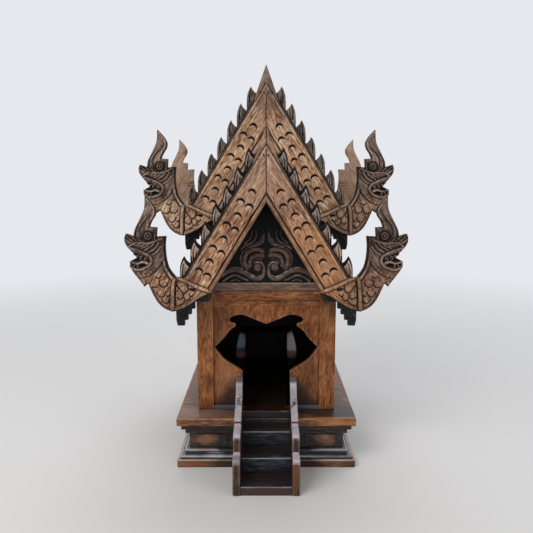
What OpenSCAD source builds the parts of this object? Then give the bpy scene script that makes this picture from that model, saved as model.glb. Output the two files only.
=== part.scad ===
// Carved teak spirit house: a hollow hall on a moulded plinth, a stair up to a cut-out doorway,
// and a two-tier roof whose gable boards end in rearing naga heads.
// X runs to the right, the front faces -Y, and Z = 0 is the underside of the plinth.

/* [Plinth] */
// Width of the base slab and the deck slab
plinth_w = 362; // [340:1:400]
// Depth of the base slab and the deck slab
plinth_d = 474; // [450:1:520]
// Thickness of the base slab
base_slab_h = 16; // [10:1:24]
// Height of the lower base ledge
ledge_low_h = 6; // [4:0.5:12]
// Setback of the lower base ledge from the slab edge
ledge_low_in = 5; // [3:0.5:8]
// Height of the upper base ledge
ledge_high_h = 10; // [6:0.5:16]
// Setback of the upper base ledge from the slab edge
ledge_high_in = 14; // [10:0.5:18]
// Height of the dado boards
dado_h = 34; // [24:1:50]
// Setback of the dado boards from the slab edge
dado_in = 23; // [20:0.5:28]
// Thickness of the dado boards
dado_t = 14; // [10:1:20]
// Width of the dado's corner stiles
dado_stile_w = 16; // [10:1:24]
// Height of each of the two steps of the bed moulding
bed_step_h = 11; // [7:1:16]
// Setback of the upper step of the bed moulding
bed_high_in = 8; // [4:0.5:12]
// Setback of the lower step of the bed moulding
bed_low_in = 15.5; // [13:0.5:19]
// Thickness of the deck slab
deck_h = 16; // [10:1:24]

/* [Hall] */
// Width of the hall over its corner stiles
hall_w = 284; // [270:1:300]
// Depth of the hall over its corner stiles
hall_d = 374; // [340:1:400]
// Height of the front wall from the deck to the top of its beam
front_h = 269; // [255:1:285]
// Distance that the side walls end below the top of the front wall
side_drop = 7.8; // [4:0.2:9]
// Thickness of the wall boards
wall_t = 14; // [9:1:20]
// Width of the corner stiles on each face
stile_w = 33; // [24:1:33]
// Thickness of the corner stiles, beams and skirting in front of the wall boards
trim_t = 5; // [3:0.5:8]
// Height of the skirting strip
skirting_h = 8; // [5:1:14]
// Height of the beam across the head of a wall
beam_h = 36; // [26:1:44]
// Height of the moulding along the top of the beam
beam_cap_h = 16; // [8:1:20]
// Distance that the beam moulding stands forward of the beam
beam_cap_out = 4; // [2:0.5:6]

/* [Doorway] */
// Width between the jambs
door_w = 99; // [80:1:104]
// Height of the straight jambs
jamb_h = 80; // [70:1:90]
// Overall width across the cut-out's two side points
cutout_w = 214; // [180:1:214]
// Overall height of the cut-out above the deck
cutout_h = 201; // [190:1:206]
// Width of each post of the inner door frame
frame_post_w = 20; // [12:1:24]
// Thickness of the inner door frame
frame_post_t = 12; // [8:1:16]
// Height of the inner door frame's posts
frame_post_h = 159; // [140:1:180]
// Height of the inner door frame's lintel
frame_lintel_h = 12; // [8:1:16]
// Distance that the inner frame's posts show inside the jambs
frame_reveal = 6; // [2:1:10]

/* [Stair] */
// Width of the stair over its stringers
stair_w = 125; // [120:1:140]
// Thickness of each stringer
stringer_t = 14; // [8:1:16]
// Distance from the plinth's front to the foot of the stair
stair_reach = 109; // [95:1:130]
// Height of the first tread
first_tread_h = 17; // [12:1:24]
// Going of the lower and middle treads
going = 55.5; // [48:0.5:58]
// Thickness of the treads and risers
tread_t = 8; // [5:0.5:12]
// Distance that the threshold stands forward of the front wall
threshold_out = 10; // [6:1:16]
// Height of the foot post of each stringer
stringer_foot_h = 70; // [62:1:78]
// Height of each stringer where it meets the wall, above the deck
stringer_head_h = 70; // [60:1:78]

/* [Roof] */
// Slope of the roofs and gable boards in degrees
pitch = 58.4; // [57:0.1:60]
// Vertical distance between the two roof tiers
tier_rise = 134; // [125:1:145]
// Distance that the eaves stand out from the hall's sides
eave_out = 36; // [32:1:44]
// Vertical depth of the roof slab
roof_depth = 32; // [24:1:36]
// Number of lapped courses on each slope
courses = 24; // [16:1:30]
// Distance that the gable boards stand forward of the wall below
gable_out = 53; // [45:1:60]
// Distance from the front gable boards back to the upper front gable boards
tier_back = 147; // [135:1:160]
// Width of the ridge roll
ridge_w = 18; // [12:1:24]
// Width of the eave blocks behind each naga
eave_block_w = 16.5; // [12:0.5:18]
// Thickness of the eave blocks
eave_block_t = 12; // [8:1:16]
// Drop of the eave blocks below the roof's lower edge
eave_block_h = 14; // [8:1:20]
// Width of the closing strips under the eaves
eave_strip_w = 10; // [6:1:12]
// Width of the bearers under the front gable boards
bearer_w = 27; // [20:1:29]
// Height of the bearers
bearer_h = 30; // [22:1:36]
// Setback of the bearers from the hall's sides
bearer_in = 3; // [1:0.5:6]

/* [Gable boards and nagas] */
// Thickness of the gable boards
board_t = 16; // [12:1:20]
// Width of the gable boards square to the slope
board_w = 60; // [52:1:64]
// Vertical distance that the gable boards hang below the underside of the roof
board_cover = 61; // [50:1:66]
// Extra height of the spire above the crossing of the outer edges
spire_h = 31.5; // [15:0.5:45]
// Distance of the feet of the boards' inner edges from the plane of the hall's side
foot_in = 36.6; // [32:0.2:42]
// Overall height of each naga from the bottom of its curve to the tip of its crest
naga_h = 225; // [210:1:235]
// Height of the raised fillets, collars and rims above the board
relief_t = 2.5; // [1.5:0.5:4]
// Depth of the grooves and notches cut into the board
carve_t = 2; // [1:0.5:4]
// Height of the pediments' scrollwork above the board
scroll_proud = 2; // [1:0.5:4]
// Width of the raised fillet along the inner edge
fillet_w = 10; // [6:1:14]
// Distance between rows of scales along the slope
scale_pitch = 52; // [44:1:60]
// Width of the arched notch above each scale
notch_arch_w = 16; // [12:1:18]
// Number of flame leaves along each board
leaves = 7; // [5:1:9]
// Distance of the uppermost flame leaf from the centre line
first_leaf_x = 30; // [26:1:40]
// Distance of the lowest flame leaf from the foot of the board's outer edge
last_leaf_in = 2; // [0:1:12]
// Width of each flame leaf
leaf_w = 23; // [16:1:24]
// Height of each flame leaf
leaf_h = 38; // [34:1:48]
// Thickness of the flame leaves
leaf_t = 8; // [6:1:12]

/* [Hidden] */

$fn = 48;
// Clearance between the stair and the notch that it stands in
gap = 0.3;
// Overlap of cutting shapes past the faces that they cut
eps = 1;
teak = "#8a4b22";
dark_teak = "#3a2416";
worn_teak = "#6f4a30";
black_teak = "#15110f";

// Levels from the floor up
ledge_low_z = base_slab_h;
ledge_high_z = ledge_low_z + ledge_low_h;
dado_z = ledge_high_z + ledge_high_h;
bed_z = dado_z + dado_h;
deck_z = bed_z + 2 * bed_step_h;
floor_z = deck_z + deck_h;
wall_top = floor_z + front_h;

// Planes from front to back
plinth_front = -plinth_d / 2;
wall_front = -hall_d / 2;
wall_back = hall_d / 2;
board_front = wall_front - gable_out;
board_back = board_front + board_t;
hall_board_front = board_front + tier_back;
hall_board_back = hall_board_front + board_t;
hall_wall_front = hall_board_front + gable_out;
rear_board_back = wall_back + gable_out;
rear_board_front = rear_board_back - board_t;
stair_foot = plinth_front - stair_reach;
notch_w = stair_w + 2 * gap;
notch_back = wall_front - threshold_out;
panel_front = wall_front + trim_t;

tread_rise = (floor_z - first_tread_h) / 3;

// The roof's sloping lines, as heights above the wall top where they cross the centre line
slope = tan(pitch);
wall_x = hall_w / 2;
eave_x = wall_x + eave_out;
roof_under_h = slope * wall_x - side_drop;
roof_line = roof_under_h + roof_depth;
inner_apex_h = roof_under_h - board_cover;
board_line = inner_apex_h + board_w / cos(pitch);
course_run = eave_x / courses;
course_rise = course_run * slope;

// The feet of a gable board's two edges, from the centre line and the wall top
foot_x = wall_x - foot_in;
foot_z = inner_apex_h - slope * foot_x;
outer_foot_x = foot_x + board_w * 0.91;
outer_foot_z = board_line - slope * outer_foot_x;
last_leaf_x = outer_foot_x - last_leaf_in;
bearer_x = wall_x - bearer_in;

function mirrored(pts) = [for (i = [len(pts) - 1:-1:0]) [-pts[i][0], pts[i][1]]];

// Smooth run through hand-placed points, with `n` short chords between each pair
function smooth_run(pts, n = 5) = let (last = len(pts) - 1) concat(
    [for (i = [0:last - 1], j = [0:n - 1])
        let (
            t = j / n,
            p0 = pts[max(i - 1, 0)],
            p1 = pts[i],
            p2 = pts[i + 1],
            p3 = pts[min(i + 2, last)]
        )
        0.5 * (2 * p1 + (p2 - p0) * t + (2 * p0 - 5 * p1 + 4 * p2 - p3) * t * t
            + (3 * p1 - p0 - 3 * p2 + p3) * t * t * t)],
    [pts[last]]);

// Plate standing across the house: the outline's x and y become X and Z, from y0 back by t
module across(y0, t) {
    translate([0, y0 + t, 0])
        rotate([90, 0, 0])
            linear_extrude(height = t)
                children();
}

// Plate standing along the house: the outline's x and y become Y and Z, from x0 right by t
module along(x0, t) {
    translate([x0, 0, 0])
        rotate([90, 0, 90])
            linear_extrude(height = t)
                children();
}

module on_right() {
    children();
}

module on_left() {
    mirror([1, 0, 0])
        children();
}

// One course of the plinth seen from above, with the notch for the stair
module plinth_course(setback, inner = 0) {
    difference() {
        square([plinth_w - 2 * setback, plinth_d - 2 * setback], center = true);
        translate([-notch_w / 2, plinth_front - eps])
            square([notch_w, notch_back - plinth_front + eps]);
        if (inner > 0)
            plinth_hollow();
    }
}

// The space inside the plinth's boards
module plinth_hollow() {
    inset = dado_in + dado_t;
    difference() {
        square([plinth_w - 2 * inset, plinth_d - 2 * inset], center = true);
        translate([-notch_w / 2 - dado_t, plinth_front])
            square([notch_w + 2 * dado_t, notch_back - plinth_front + dado_t]);
    }
}

module plinth_layer(z, h, setback, inner = 1) {
    translate([0, 0, z])
        linear_extrude(height = h)
            plinth_course(setback, inner);
}

module base_slab() {
    color(dark_teak)
        plinth_layer(0, base_slab_h, 0, 0);
}

module base_ledge_lower() {
    color(dark_teak)
        plinth_layer(ledge_low_z, ledge_low_h, ledge_low_in);
}

module base_ledge_upper() {
    color(dark_teak)
        plinth_layer(ledge_high_z, ledge_high_h, ledge_high_in);
}

module dado() {
    color(black_teak)
        plinth_layer(dado_z, dado_h, dado_in);
}

// Raised field of one dado panel, seen flat, between two stiles
module dado_field(w) {
    rim = 4;
    translate([-w / 2, dado_z + rim])
        square([w, dado_h - 2 * rim]);
}

module dado_panels() {
    proud = 2;
    half_w = plinth_w / 2 - dado_in;
    half_d = plinth_d / 2 - dado_in;
    front_w = half_w - notch_w / 2 - 2 * dado_stile_w;
    side_w = (2 * half_d - 4 * dado_stile_w) / 3;
    rear_w = (2 * half_w - 3 * dado_stile_w) / 2;
    color(dark_teak) {
        for (s = [-1, 1]) {
            translate([s * (half_w - dado_stile_w - front_w / 2), 0, 0])
                across(-half_d - proud, proud)
                    dado_field(front_w);
            translate([s * (rear_w + dado_stile_w) / 2, 0, 0])
                across(half_d, proud)
                    dado_field(rear_w);
            for (i = [-1:1])
                translate([0, i * (side_w + dado_stile_w), 0])
                    along(s > 0 ? half_w : -half_w - proud, proud)
                        dado_field(side_w);
        }
    }
}

module bed_moulding() {
    color(black_teak) {
        plinth_layer(bed_z, bed_step_h, bed_low_in);
        plinth_layer(bed_z + bed_step_h, bed_step_h, bed_high_in);
    }
}

module deck_slab() {
    color(teak)
        plinth_layer(deck_z, deck_h, 0, 0);
}

// Side of the stair: three scalloped lengths stepping up to the doorway
module stringer_outline() {
    lip = stair_foot + going / 2;
    crook = stair_foot + 1.3 * going;
    back = notch_back - gap;
    run = panel_front - crook;
    head_z = floor_z + stringer_head_h;
    mid_z = stringer_foot_h + (head_z - stringer_foot_h) * 0.33;
    polygon(concat(
        [[stair_foot, 0]],
        smooth_run([[stair_foot, stringer_foot_h - 8], [stair_foot + 2.5, stringer_foot_h - 2.5],
            [stair_foot + 9, stringer_foot_h], [lip, stringer_foot_h + 1]], 3),
        smooth_run([[lip, mid_z - 8], [lip + 2, mid_z - 2], [lip + 10, mid_z + 2], [crook, mid_z + 4]], 3),
        smooth_run([[crook, mid_z + 12], [crook + 0.27 * run, mid_z + 22], [crook + 0.6 * run, mid_z + 38],
            [crook + 0.8 * run, head_z - 8], [panel_front, head_z]], 4),
        [[panel_front, floor_z], [back, floor_z], [back, 0]]));
}

module stringer() {
    along(stair_w / 2 - stringer_t, stringer_t)
        stringer_outline();
}

module stair_stringer_right() {
    color(worn_teak)
        on_right()
            stringer();
}

module stair_stringer_left() {
    color(worn_teak)
        on_left()
            stringer();
}

// Tread i, with the riser at its front down to the tread below
module stair_step(i) {
    top = first_tread_h + i * tread_rise;
    low = i == 0 ? 0 : top - tread_rise;
    front = stair_foot + 2 + i * going;
    back = i == 2 ? notch_back - gap : front + going + tread_t - gap;
    inner_w = stair_w - 2 * stringer_t;
    along(-inner_w / 2, inner_w)
        polygon([[front, low], [front + tread_t, low], [front + tread_t, top - tread_t],
            [back, top - tread_t], [back, top], [front, top]]);
}

module lower_step() {
    color(black_teak)
        stair_step(0);
}

module middle_step() {
    color(black_teak)
        stair_step(1);
}

module upper_step() {
    color(black_teak)
        stair_step(2);
}

// Half outline of the cut-out in units of its own half width and height, from jamb to crown
function cutout_half() = let (
    hx = cutout_w / 2,
    hz = cutout_h,
    rise = hz - jamb_h,
    out = hx - door_w / 2,
    jamb_x = door_w / 2
) concat(
    [[jamb_x, -eps]],
    smooth_run([[jamb_x, jamb_h], [jamb_x + 0.25 * out, jamb_h + 0.08 * rise],
        [jamb_x + 0.65 * out, jamb_h + 0.21 * rise], [hx, jamb_h + 0.42 * rise]]),
    smooth_run([[hx, jamb_h + 0.43 * rise], [hx - 0.32 * out, jamb_h + 0.58 * rise],
        [hx - 0.54 * out, jamb_h + 0.72 * rise], [hx - 0.77 * out, jamb_h + 0.805 * rise]]),
    smooth_run([[hx - 0.73 * out, jamb_h + 0.84 * rise], [hx - 0.54 * out, jamb_h + 0.88 * rise],
        [hx - 0.62 * out, jamb_h + 0.965 * rise], [jamb_x, hz], [0.25 * hx, hz - 0.07 * rise],
        [0, jamb_h + 0.84 * rise]]));

module cutout_outline() {
    translate([0, floor_z])
        polygon(concat(cutout_half(), mirrored(cutout_half())));
}

module front_wall() {
    color(teak)
        across(panel_front, wall_t)
            difference() {
                translate([-wall_x + trim_t, floor_z])
                    square([hall_w - 2 * trim_t, front_h]);
                cutout_outline();
                roof_trim(0);
            }
}

// Everything above the underside of a roof, seen from the front
module roof_trim(rise) {
    apex = wall_top + rise + roof_under_h;
    polygon([[0, apex], [hall_w, apex - slope * hall_w], [hall_w, apex + eps], [-hall_w, apex + eps],
        [-hall_w, apex - slope * hall_w]]);
}

// Half outline of the inner frame above the deck: each post draws in towards its head
function frame_half(outer, head_in) = concat(
    [[outer, 0]],
    smooth_run([[outer, 0.7 * frame_post_h], [outer - 0.12 * head_in, 0.8 * frame_post_h],
        [outer - 0.55 * head_in, 0.92 * frame_post_h], [outer - head_in, frame_post_h]], 4),
    [[outer - head_in, frame_post_h + frame_lintel_h]]);

// Posts and lintel that show through the cut-out
module inner_door_frame() {
    post_x = door_w / 2 - frame_reveal;
    frame_front = panel_front + wall_t;
    outer = post_x + frame_post_w;
    half = frame_half(outer, frame_post_w * 0.45);
    color(black_teak)
        across(frame_front, frame_post_t)
            translate([0, floor_z])
                difference() {
                    polygon(concat(half, mirrored(half)));
                    translate([-post_x, -eps])
                        square([2 * post_x, frame_post_h + eps]);
                }
}

// Side wall: low beside the front bay, and a storey higher under the upper roof
module side_wall() {
    front = panel_front + wall_t;
    back = wall_back - trim_t - wall_t;
    step = hall_wall_front + wall_t;
    low = wall_top - side_drop;
    along(wall_x - trim_t - wall_t, wall_t)
        polygon([[front, floor_z], [back, floor_z], [back, low + tier_rise],
            [step, low + tier_rise], [step, low], [front, low]]);
}

module side_wall_right() {
    color(teak)
        on_right()
            side_wall();
}

module side_wall_left() {
    color(teak)
        on_left()
            side_wall();
}

module rear_wall() {
    color(teak)
        across(wall_back - trim_t - wall_t, wall_t)
            difference() {
                translate([-wall_x + trim_t, floor_z])
                    square([hall_w - 2 * trim_t, front_h + tier_rise]);
                roof_trim(tier_rise);
            }
}

// Angle-shaped stile on one corner, seen from above
module corner_stile(h) {
    translate([0, 0, floor_z])
        linear_extrude(height = h)
            difference() {
                square(stile_w);
                translate([trim_t, trim_t])
                    square(stile_w);
            }
}

module front_stiles() {
    h = front_h - beam_h;
    color(teak)
        for (s = [0, 1])
            mirror([s, 0, 0])
                translate([-wall_x, wall_front, 0])
                    corner_stile(h);
}

module rear_stiles() {
    h = front_h - side_drop + tier_rise;
    color(teak)
        for (s = [0, 1])
            mirror([s, 0, 0])
                translate([-wall_x, wall_back, 0])
                    mirror([0, 1, 0])
                        corner_stile(h);
}

// Strip at the foot of the walls, between the corner stiles and beside the stair
module skirting() {
    run_w = wall_x - stile_w;
    run_d = hall_d / 2 - stile_w;
    front_w = run_w - stair_w / 2 - gap;
    color(dark_teak)
        translate([0, 0, floor_z]) {
            for (s = [0, 1])
                mirror([s, 0, 0]) {
                    translate([stair_w / 2 + gap, wall_front, 0])
                        cube([front_w, trim_t, skirting_h]);
                    translate([wall_x - trim_t, -run_d, 0])
                        cube([trim_t, 2 * run_d, skirting_h]);
                }
            translate([-run_w, wall_back - trim_t, 0])
                cube([2 * run_w, trim_t, skirting_h]);
        }
}

module front_beam() {
    z = wall_top - beam_h;
    color(teak)
        translate([-wall_x, wall_front, z])
            cube([hall_w, trim_t, beam_h - beam_cap_h]);
}

module front_beam_cap() {
    half = bearer_x - bearer_w - gap;
    color(worn_teak)
        translate([-half, wall_front - beam_cap_out, wall_top - beam_cap_h])
            cube([2 * half, trim_t + beam_cap_out, beam_cap_h]);
}

// Rails under the eaves of the side walls
module side_rails() {
    top = floor_z + front_h - side_drop;
    rail_h = beam_h - beam_cap_h;
    color(teak)
        for (s = [0, 1])
            mirror([s, 0, 0]) {
                translate([wall_x - trim_t, hall_wall_front, top + tier_rise - rail_h])
                    cube([trim_t, wall_back - stile_w - hall_wall_front, rail_h]);
                translate([wall_x - trim_t, wall_front + stile_w, top - rail_h])
                    cube([trim_t, hall_wall_front - wall_front - stile_w, rail_h]);
            }
}

module rear_beam() {
    z = wall_top - side_drop + tier_rise - beam_h;
    run_w = wall_x - stile_w;
    color(teak)
        translate([-run_w, wall_back - trim_t, z])
            cube([2 * run_w, trim_t, beam_h]);
}

// Short bearers that carry the feet of one pair of gable boards, from y0 back to y1
module bearer_pair(y0, y1, rise) {
    top = wall_top + rise + roof_under_h - slope * bearer_x;
    for (s = [0, 1])
        mirror([s, 0, 0])
            translate([bearer_x - bearer_w, y0, top - bearer_h])
                cube([bearer_w, y1 - y0, bearer_h]);
}

module gable_bearers() {
    color(black_teak) {
        bearer_pair(board_back, wall_front, 0);
        bearer_pair(hall_board_back, hall_wall_front, tier_rise);
        bearer_pair(wall_back, rear_board_front, tier_rise);
    }
}

// Triangle under a roof, from the wall top up
module pediment_outline(base_z, rise) {
    apex = wall_top + rise + roof_under_h;
    half = wall_x - trim_t;
    intersection() {
        polygon([[-wall_x, apex - slope * wall_x], [wall_x, apex - slope * wall_x], [0, apex]]);
        translate([-half, base_z])
            square([2 * half, apex - base_z]);
    }
}

// Half of the scrollwork as drawn: volute, great leaf in three parts, flame, outer flame, two side tails
scroll_bodies = [
    [7, 5, [[18, 7], [9.4, 10.2], [4.4, 19], [3.6, 30], [7.6, 37.5], [15, 39.6], [21.8, 36.6], [24, 30.5],
        [20.6, 25.6]]],
    [11, 11, [[15.2, 31.5], [15.8, 31.5]]],
    [5, 17, [[33, 29], [40.3, 38], [42, 49.8]]],
    [17, 15, [[42, 49.8], [37, 60.5], [27, 65.9]]],
    [15, 6, [[27, 65.9], [14.6, 65.9], [5.4, 58.6]]],
    [6, 9, [[41, 72], [29.5, 80.5], [16.7, 84.5]]],
    [9, 1.5, [[16.7, 84.5], [8.6, 91], [4, 103]]],
    [5, 1.5, [[50, 66], [43.6, 77], [30, 86], [21.5, 93], [18, 105]]],
    [9, 4, [[17, 7], [31.9, 10.8], [42.6, 18.4], [53.3, 25.6], [65, 28.2], [76.9, 22.7], [86, 13]]],
    [5, 2.5, [[31, 3.6], [42.7, 6.4], [53.4, 11], [64.1, 13], [74.8, 9.4], [85, 2.4]]]
];

// Grooves cut in it, as above: the volute's coil, and the ribs of the leaf, the flame and the tail
scroll_grooves = [
    [1.4, 1.2, [[9.8, 25], [8.8, 31], [12, 35.4], [17, 35.6], [20, 31.5], [17.6, 28.4]]],
    [1.4, 1.6, [[39, 34], [44.6, 43.5], [46, 54], [41.3, 64], [30.6, 69.6], [16.8, 69], [9, 64.6]]],
    [1.4, 1.6, [[36, 35], [39.6, 42.5], [39.8, 51.5], [34.3, 59.4], [25.3, 63.4], [12.5, 62.8], [6.6, 58]]],
    [1.2, 1.2, [[36, 76.5], [22, 84], [12, 88.2], [6.6, 96]]],
    [1.4, 1.2, [[22, 8.5], [32, 12.4], [42, 20.5], [53, 28], [65, 30.6], [76, 25.6]]]
];

module scroll_shapes(strokes) {
    for (stroke = strokes)
        polygon(stroke_outline(stroke[2], stroke[0], stroke[1]));
}

module scrollwork() {
    drawn_h = 223;
    translate([0, wall_top])
        scale(roof_under_h / drawn_h)
            for (s = [0, 1])
                mirror([s, 0])
                    difference() {
                        scroll_shapes(scroll_bodies);
                        scroll_shapes(scroll_grooves);
                    }
}

module front_pediment() {
    color(black_teak) {
        across(wall_front, trim_t)
            pediment_outline(wall_top, 0);
        across(wall_front - scroll_proud, scroll_proud)
            intersection() {
                pediment_outline(wall_top, 0);
                scrollwork();
            }
    }
}

// Board that closes the front of the hall above the bay, between the two roofs
module hall_pediment() {
    half = wall_x - trim_t;
    base_z = wall_top - side_drop;
    color(dark_teak)
        across(hall_wall_front, wall_t)
            difference() {
                translate([-half, base_z])
                    square([2 * half, tier_rise + roof_under_h + side_drop]);
                roof_trim(tier_rise);
            }
}

module rear_pediment() {
    color(black_teak) {
        across(wall_back - trim_t, trim_t)
            pediment_outline(wall_top + tier_rise - side_drop, tier_rise);
        across(wall_back, scroll_proud)
            intersection() {
                pediment_outline(wall_top + tier_rise, tier_rise);
                translate([0, tier_rise])
                    scrollwork();
            }
    }
}

// One slope of a roof seen from the front: a stepped top of lapped courses over a plain underside
function roof_half() = let (
    eave_top = wall_top + roof_line - slope * eave_x
) concat(
    [[0, wall_top + roof_under_h], [eave_x, wall_top + roof_under_h - slope * eave_x]],
    [for (i = [0:courses - 1], k = [0, 1])
        [eave_x - (i + k) * course_run, eave_top + i * course_rise]]);

module roof(rise, front, back) {
    across(front, back - front)
        translate([0, rise])
            polygon(concat(roof_half(), mirrored(roof_half())));
}

module lower_roof() {
    color(black_teak)
        roof(0, board_back, hall_wall_front);
}

module upper_roof() {
    color(black_teak)
        roof(tier_rise, hall_board_back, rear_board_front);
}

module ridge(rise, front, back) {
    across(front, back - front)
        translate([0, wall_top + rise + roof_line - course_rise])
            difference() {
                circle(d = ridge_w);
                translate([-ridge_w, -2 * ridge_w])
                    square(2 * ridge_w);
            }
}

module lower_ridge() {
    color(black_teak)
        ridge(0, board_back, hall_wall_front);
}

module upper_ridge() {
    color(black_teak)
        ridge(tier_rise, hall_board_back, rear_board_front);
}

// Block at the end of an eave, its foot tapered and its inner side cut in steps up to the bearer
module eave_block_outline() {
    steps = 3;
    taper_w = 2.5;
    taper_h = 12;
    edge_z = wall_top + roof_under_h - slope * eave_x;
    inner = eave_x - eave_block_w;
    step_run = (inner - bearer_x - 1.5) / steps;
    step_rise = step_run * slope;
    last_x = inner - steps * step_run;
    low = edge_z - eave_block_h;
    polygon(concat(
        [[eave_x, low + taper_h], [eave_x - taper_w, low]],
        [for (i = [0:steps], k = [0, 1]) [inner - i * step_run, low + (i + k) * step_rise]],
        [[last_x, edge_z + slope * (eave_x - last_x)], [eave_x, edge_z]]));
}

// The two blocks behind one pair of nagas
module eave_block_pair(y0, rise) {
    for (s = [0, 1])
        mirror([s, 0, 0])
            across(y0, eave_block_t)
                translate([0, rise])
                    eave_block_outline();
}

module eave_blocks() {
    color(black_teak) {
        eave_block_pair(board_back, 0);
        eave_block_pair(hall_board_back, tier_rise);
        eave_block_pair(rear_board_front - eave_block_t, tier_rise);
    }
}

// Closing strips along the lower edges of the roof, between the eave blocks
module eave_strip_pair(y0, y1, rise) {
    drop = 5;
    edge_z = wall_top + rise + roof_under_h - slope * eave_x;
    inner = eave_x - eave_strip_w;
    for (s = [0, 1])
        mirror([s, 0, 0])
            across(y0, y1 - y0)
                polygon([[inner, edge_z - drop], [eave_x, edge_z - drop], [eave_x, edge_z],
                    [inner, edge_z + slope * eave_strip_w]]);
}

module eave_strips() {
    color(black_teak) {
        eave_strip_pair(board_back + eave_block_t, hall_wall_front, 0);
        eave_strip_pair(hall_board_back + eave_block_t, rear_board_front - eave_block_t, tier_rise);
    }
}

// Outline of one gable board and the naga that rears up at its foot, on the right-hand side.
// The naga's own points are drawn for a height of 225 from the bottom of its curve.
function naga_pt(x, z) = let (
    drawn_h = 225,
    drawn_foot = [160, 16.4]
) [outer_foot_x, outer_foot_z] + naga_h / drawn_h * ([x, z] - drawn_foot);

function naga_outline() = let (
    shoulder = spire_h * 0.86
) concat(
    [[gap / 2, inner_apex_h], [foot_x, foot_z]],
    smooth_run([naga_pt(131, -24), naga_pt(147, -35), naga_pt(163, -43.5), naga_pt(180, -48),
        naga_pt(196, -43), naga_pt(209, -32), naga_pt(218, -17), naga_pt(224.8, -1.3), naga_pt(228, 7)], 3),
    smooth_run([naga_pt(236, 0.6), naga_pt(240, 8), naga_pt(251, 22), naga_pt(259, 34), naga_pt(263, 44),
        naga_pt(263, 50)], 2),
    smooth_run([naga_pt(249.5, 57), naga_pt(257, 67), naga_pt(265, 78), naga_pt(270, 85),
        naga_pt(271.5, 94), naga_pt(269, 103)], 2),
    smooth_run([naga_pt(254, 98), naga_pt(251, 111), naga_pt(245, 124), naga_pt(237.5, 138),
        naga_pt(231.5, 153), naga_pt(230, 176)], 3),
    smooth_run([naga_pt(218, 163), naga_pt(210.5, 149.5), naga_pt(212.5, 137.5), naga_pt(219, 127.5),
        naga_pt(224, 116)], 3),
    [naga_pt(209.5, 115), naga_pt(211, 97.6)],
    smooth_run([naga_pt(192.5, 98.5), naga_pt(194.5, 78), naga_pt(192.5, 52), naga_pt(187, 34),
        naga_pt(175.5, 18.5)], 3),
    [[outer_foot_x, outer_foot_z], [shoulder, board_line - slope * shoulder],
        [gap / 2, board_line + spire_h]]);

// Outline of a carved stroke through hand-placed points, tapering from w0 wide to w1
function stroke_outline(pts, w0, w1) = let (
    run = smooth_run(pts, 3),
    last = len(run) - 1,
    side = [for (i = [0:last])
        let (d = run[min(i + 1, last)] - run[max(i - 1, 0)])
        (w0 + (w1 - w0) * i / last) / 2 / norm(d) * [-d[1], d[0]]]
) concat([for (i = [0:last]) run[i] + side[i]], [for (i = [last:-1:0]) run[i] - side[i]]);

// Raised work of the head and neck: width at the start, width at the end, points
naga_ridges = [
    // Collar across the foot of the board, and the band straight down from the nape
    [7, 5.5, [[100, -11], [133, 1], [154, 11], [175, 21]]],
    [6, 8, [[177, 15], [180, 2], [182, -20], [183, -52]]],
    // Strip up the back of the neck, and the rim round the outside of the curve
    [8, 7, [[182, 18], [191, 34], [196, 50]]],
    [5, 3, [[187, -45], [199, -36.5], [209, -25], [216, -11], [221, 1]]],
    // Lip from under the nose round the corner of the mouth to the tip of the jaw
    [4, 6, [[271, 80], [258, 75], [246, 71], [234, 66], [223, 61], [220, 51], [226, 41], [236, 36], [248, 34],
        [262, 39]]],
    // Brow, the ribs of the mane below it, and the cheek
    [7, 3, [[207, 94], [215, 89], [225, 86], [238, 85], [253, 91], [268, 103]]],
    [4, 2, [[208, 86], [217, 76], [228, 71]]],
    [4, 2, [[200, 80], [208, 69], [217, 64]]],
    [4, 2, [[232, 83], [240, 76], [250, 75]]],
    [4, 2, [[246, 87], [252, 80], [262, 80]]],
    [3, 5, [[206, 55], [211, 42], [219, 34], [232, 29]]],
    // Ear curl, and the long ribs of the plume
    [4, 3, [[214, 108], [219, 101], [218, 92], [226, 90], [233, 95], [231, 103], [225, 103]]],
    [3, 2, [[244, 92], [246, 108], [240, 122], [228, 135], [222, 150], [226, 166]]]
];

// Cuts in the face of the board, as above
naga_cuts = [
    // Line of the cheek, groove beside the band, and the flutes of the plume
    [2, 1.5, [[200, 46], [207, 36], [220, 25], [231, 20], [244, 17]]],
    [2.5, 2, [[173, 12], [175, -5], [176.5, -24], [176, -38]]],
    [2, 1, [[237, 93], [240, 109], [234, 123], [223, 135], [217, 148]]],
    [2, 1, [[249, 96], [249, 107], [244, 118], [237, 128]]],
    // Lower edges of the scales on the neck
    [2, 1.5, [[189.5, 8], [193, 2.5], [199, 0], [204.5, 2.5], [207, 9]]],
    [2, 1.5, [[208.5, 4.5], [211.5, 0], [216, -1]]],
    [2, 1.5, [[203, 21], [208, 17.5], [214, 20]]],
    [2, 1.5, [[194, -9], [197.5, -16.5], [203.5, -19.5], [209, -16]]],
    [2, 1.5, [[188, -28], [193, -33], [198, -29.5]]],
    // Lower edges of the scales on the wedge under the collar, and the hollow at its inner end
    [2, 1.5, [[151, 3], [152, -7], [158, -12], [164.5, -8], [169, 0]]],
    [2, 1.5, [[160.5, -14], [161.5, -20.5], [167, -24], [172, -21.5]]],
    [2, 1.5, [[141, -15], [145, -18.5], [149.5, -14.5]]],
    [2, 1.5, [[147.5, -19], [149.5, -24.5], [156, -26.5], [159, -21]]],
    [2, 1.5, [[159, -28], [161, -32], [168, -35], [173, -37]]],
    [7, 6, [[140.5, -4.5], [146, -3.5]]]
];

module naga_strokes(strokes) {
    for (s = strokes)
        polygon(stroke_outline([for (p = s[2]) naga_pt(p[0], p[1])], s[0], s[1]));
}

// Centres of the teeth, along the upper lip and then the lower
naga_teeth = [[238, 59], [245, 61.5], [252, 64], [259, 66], [243, 42], [250, 42.5], [257, 44]];

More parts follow.
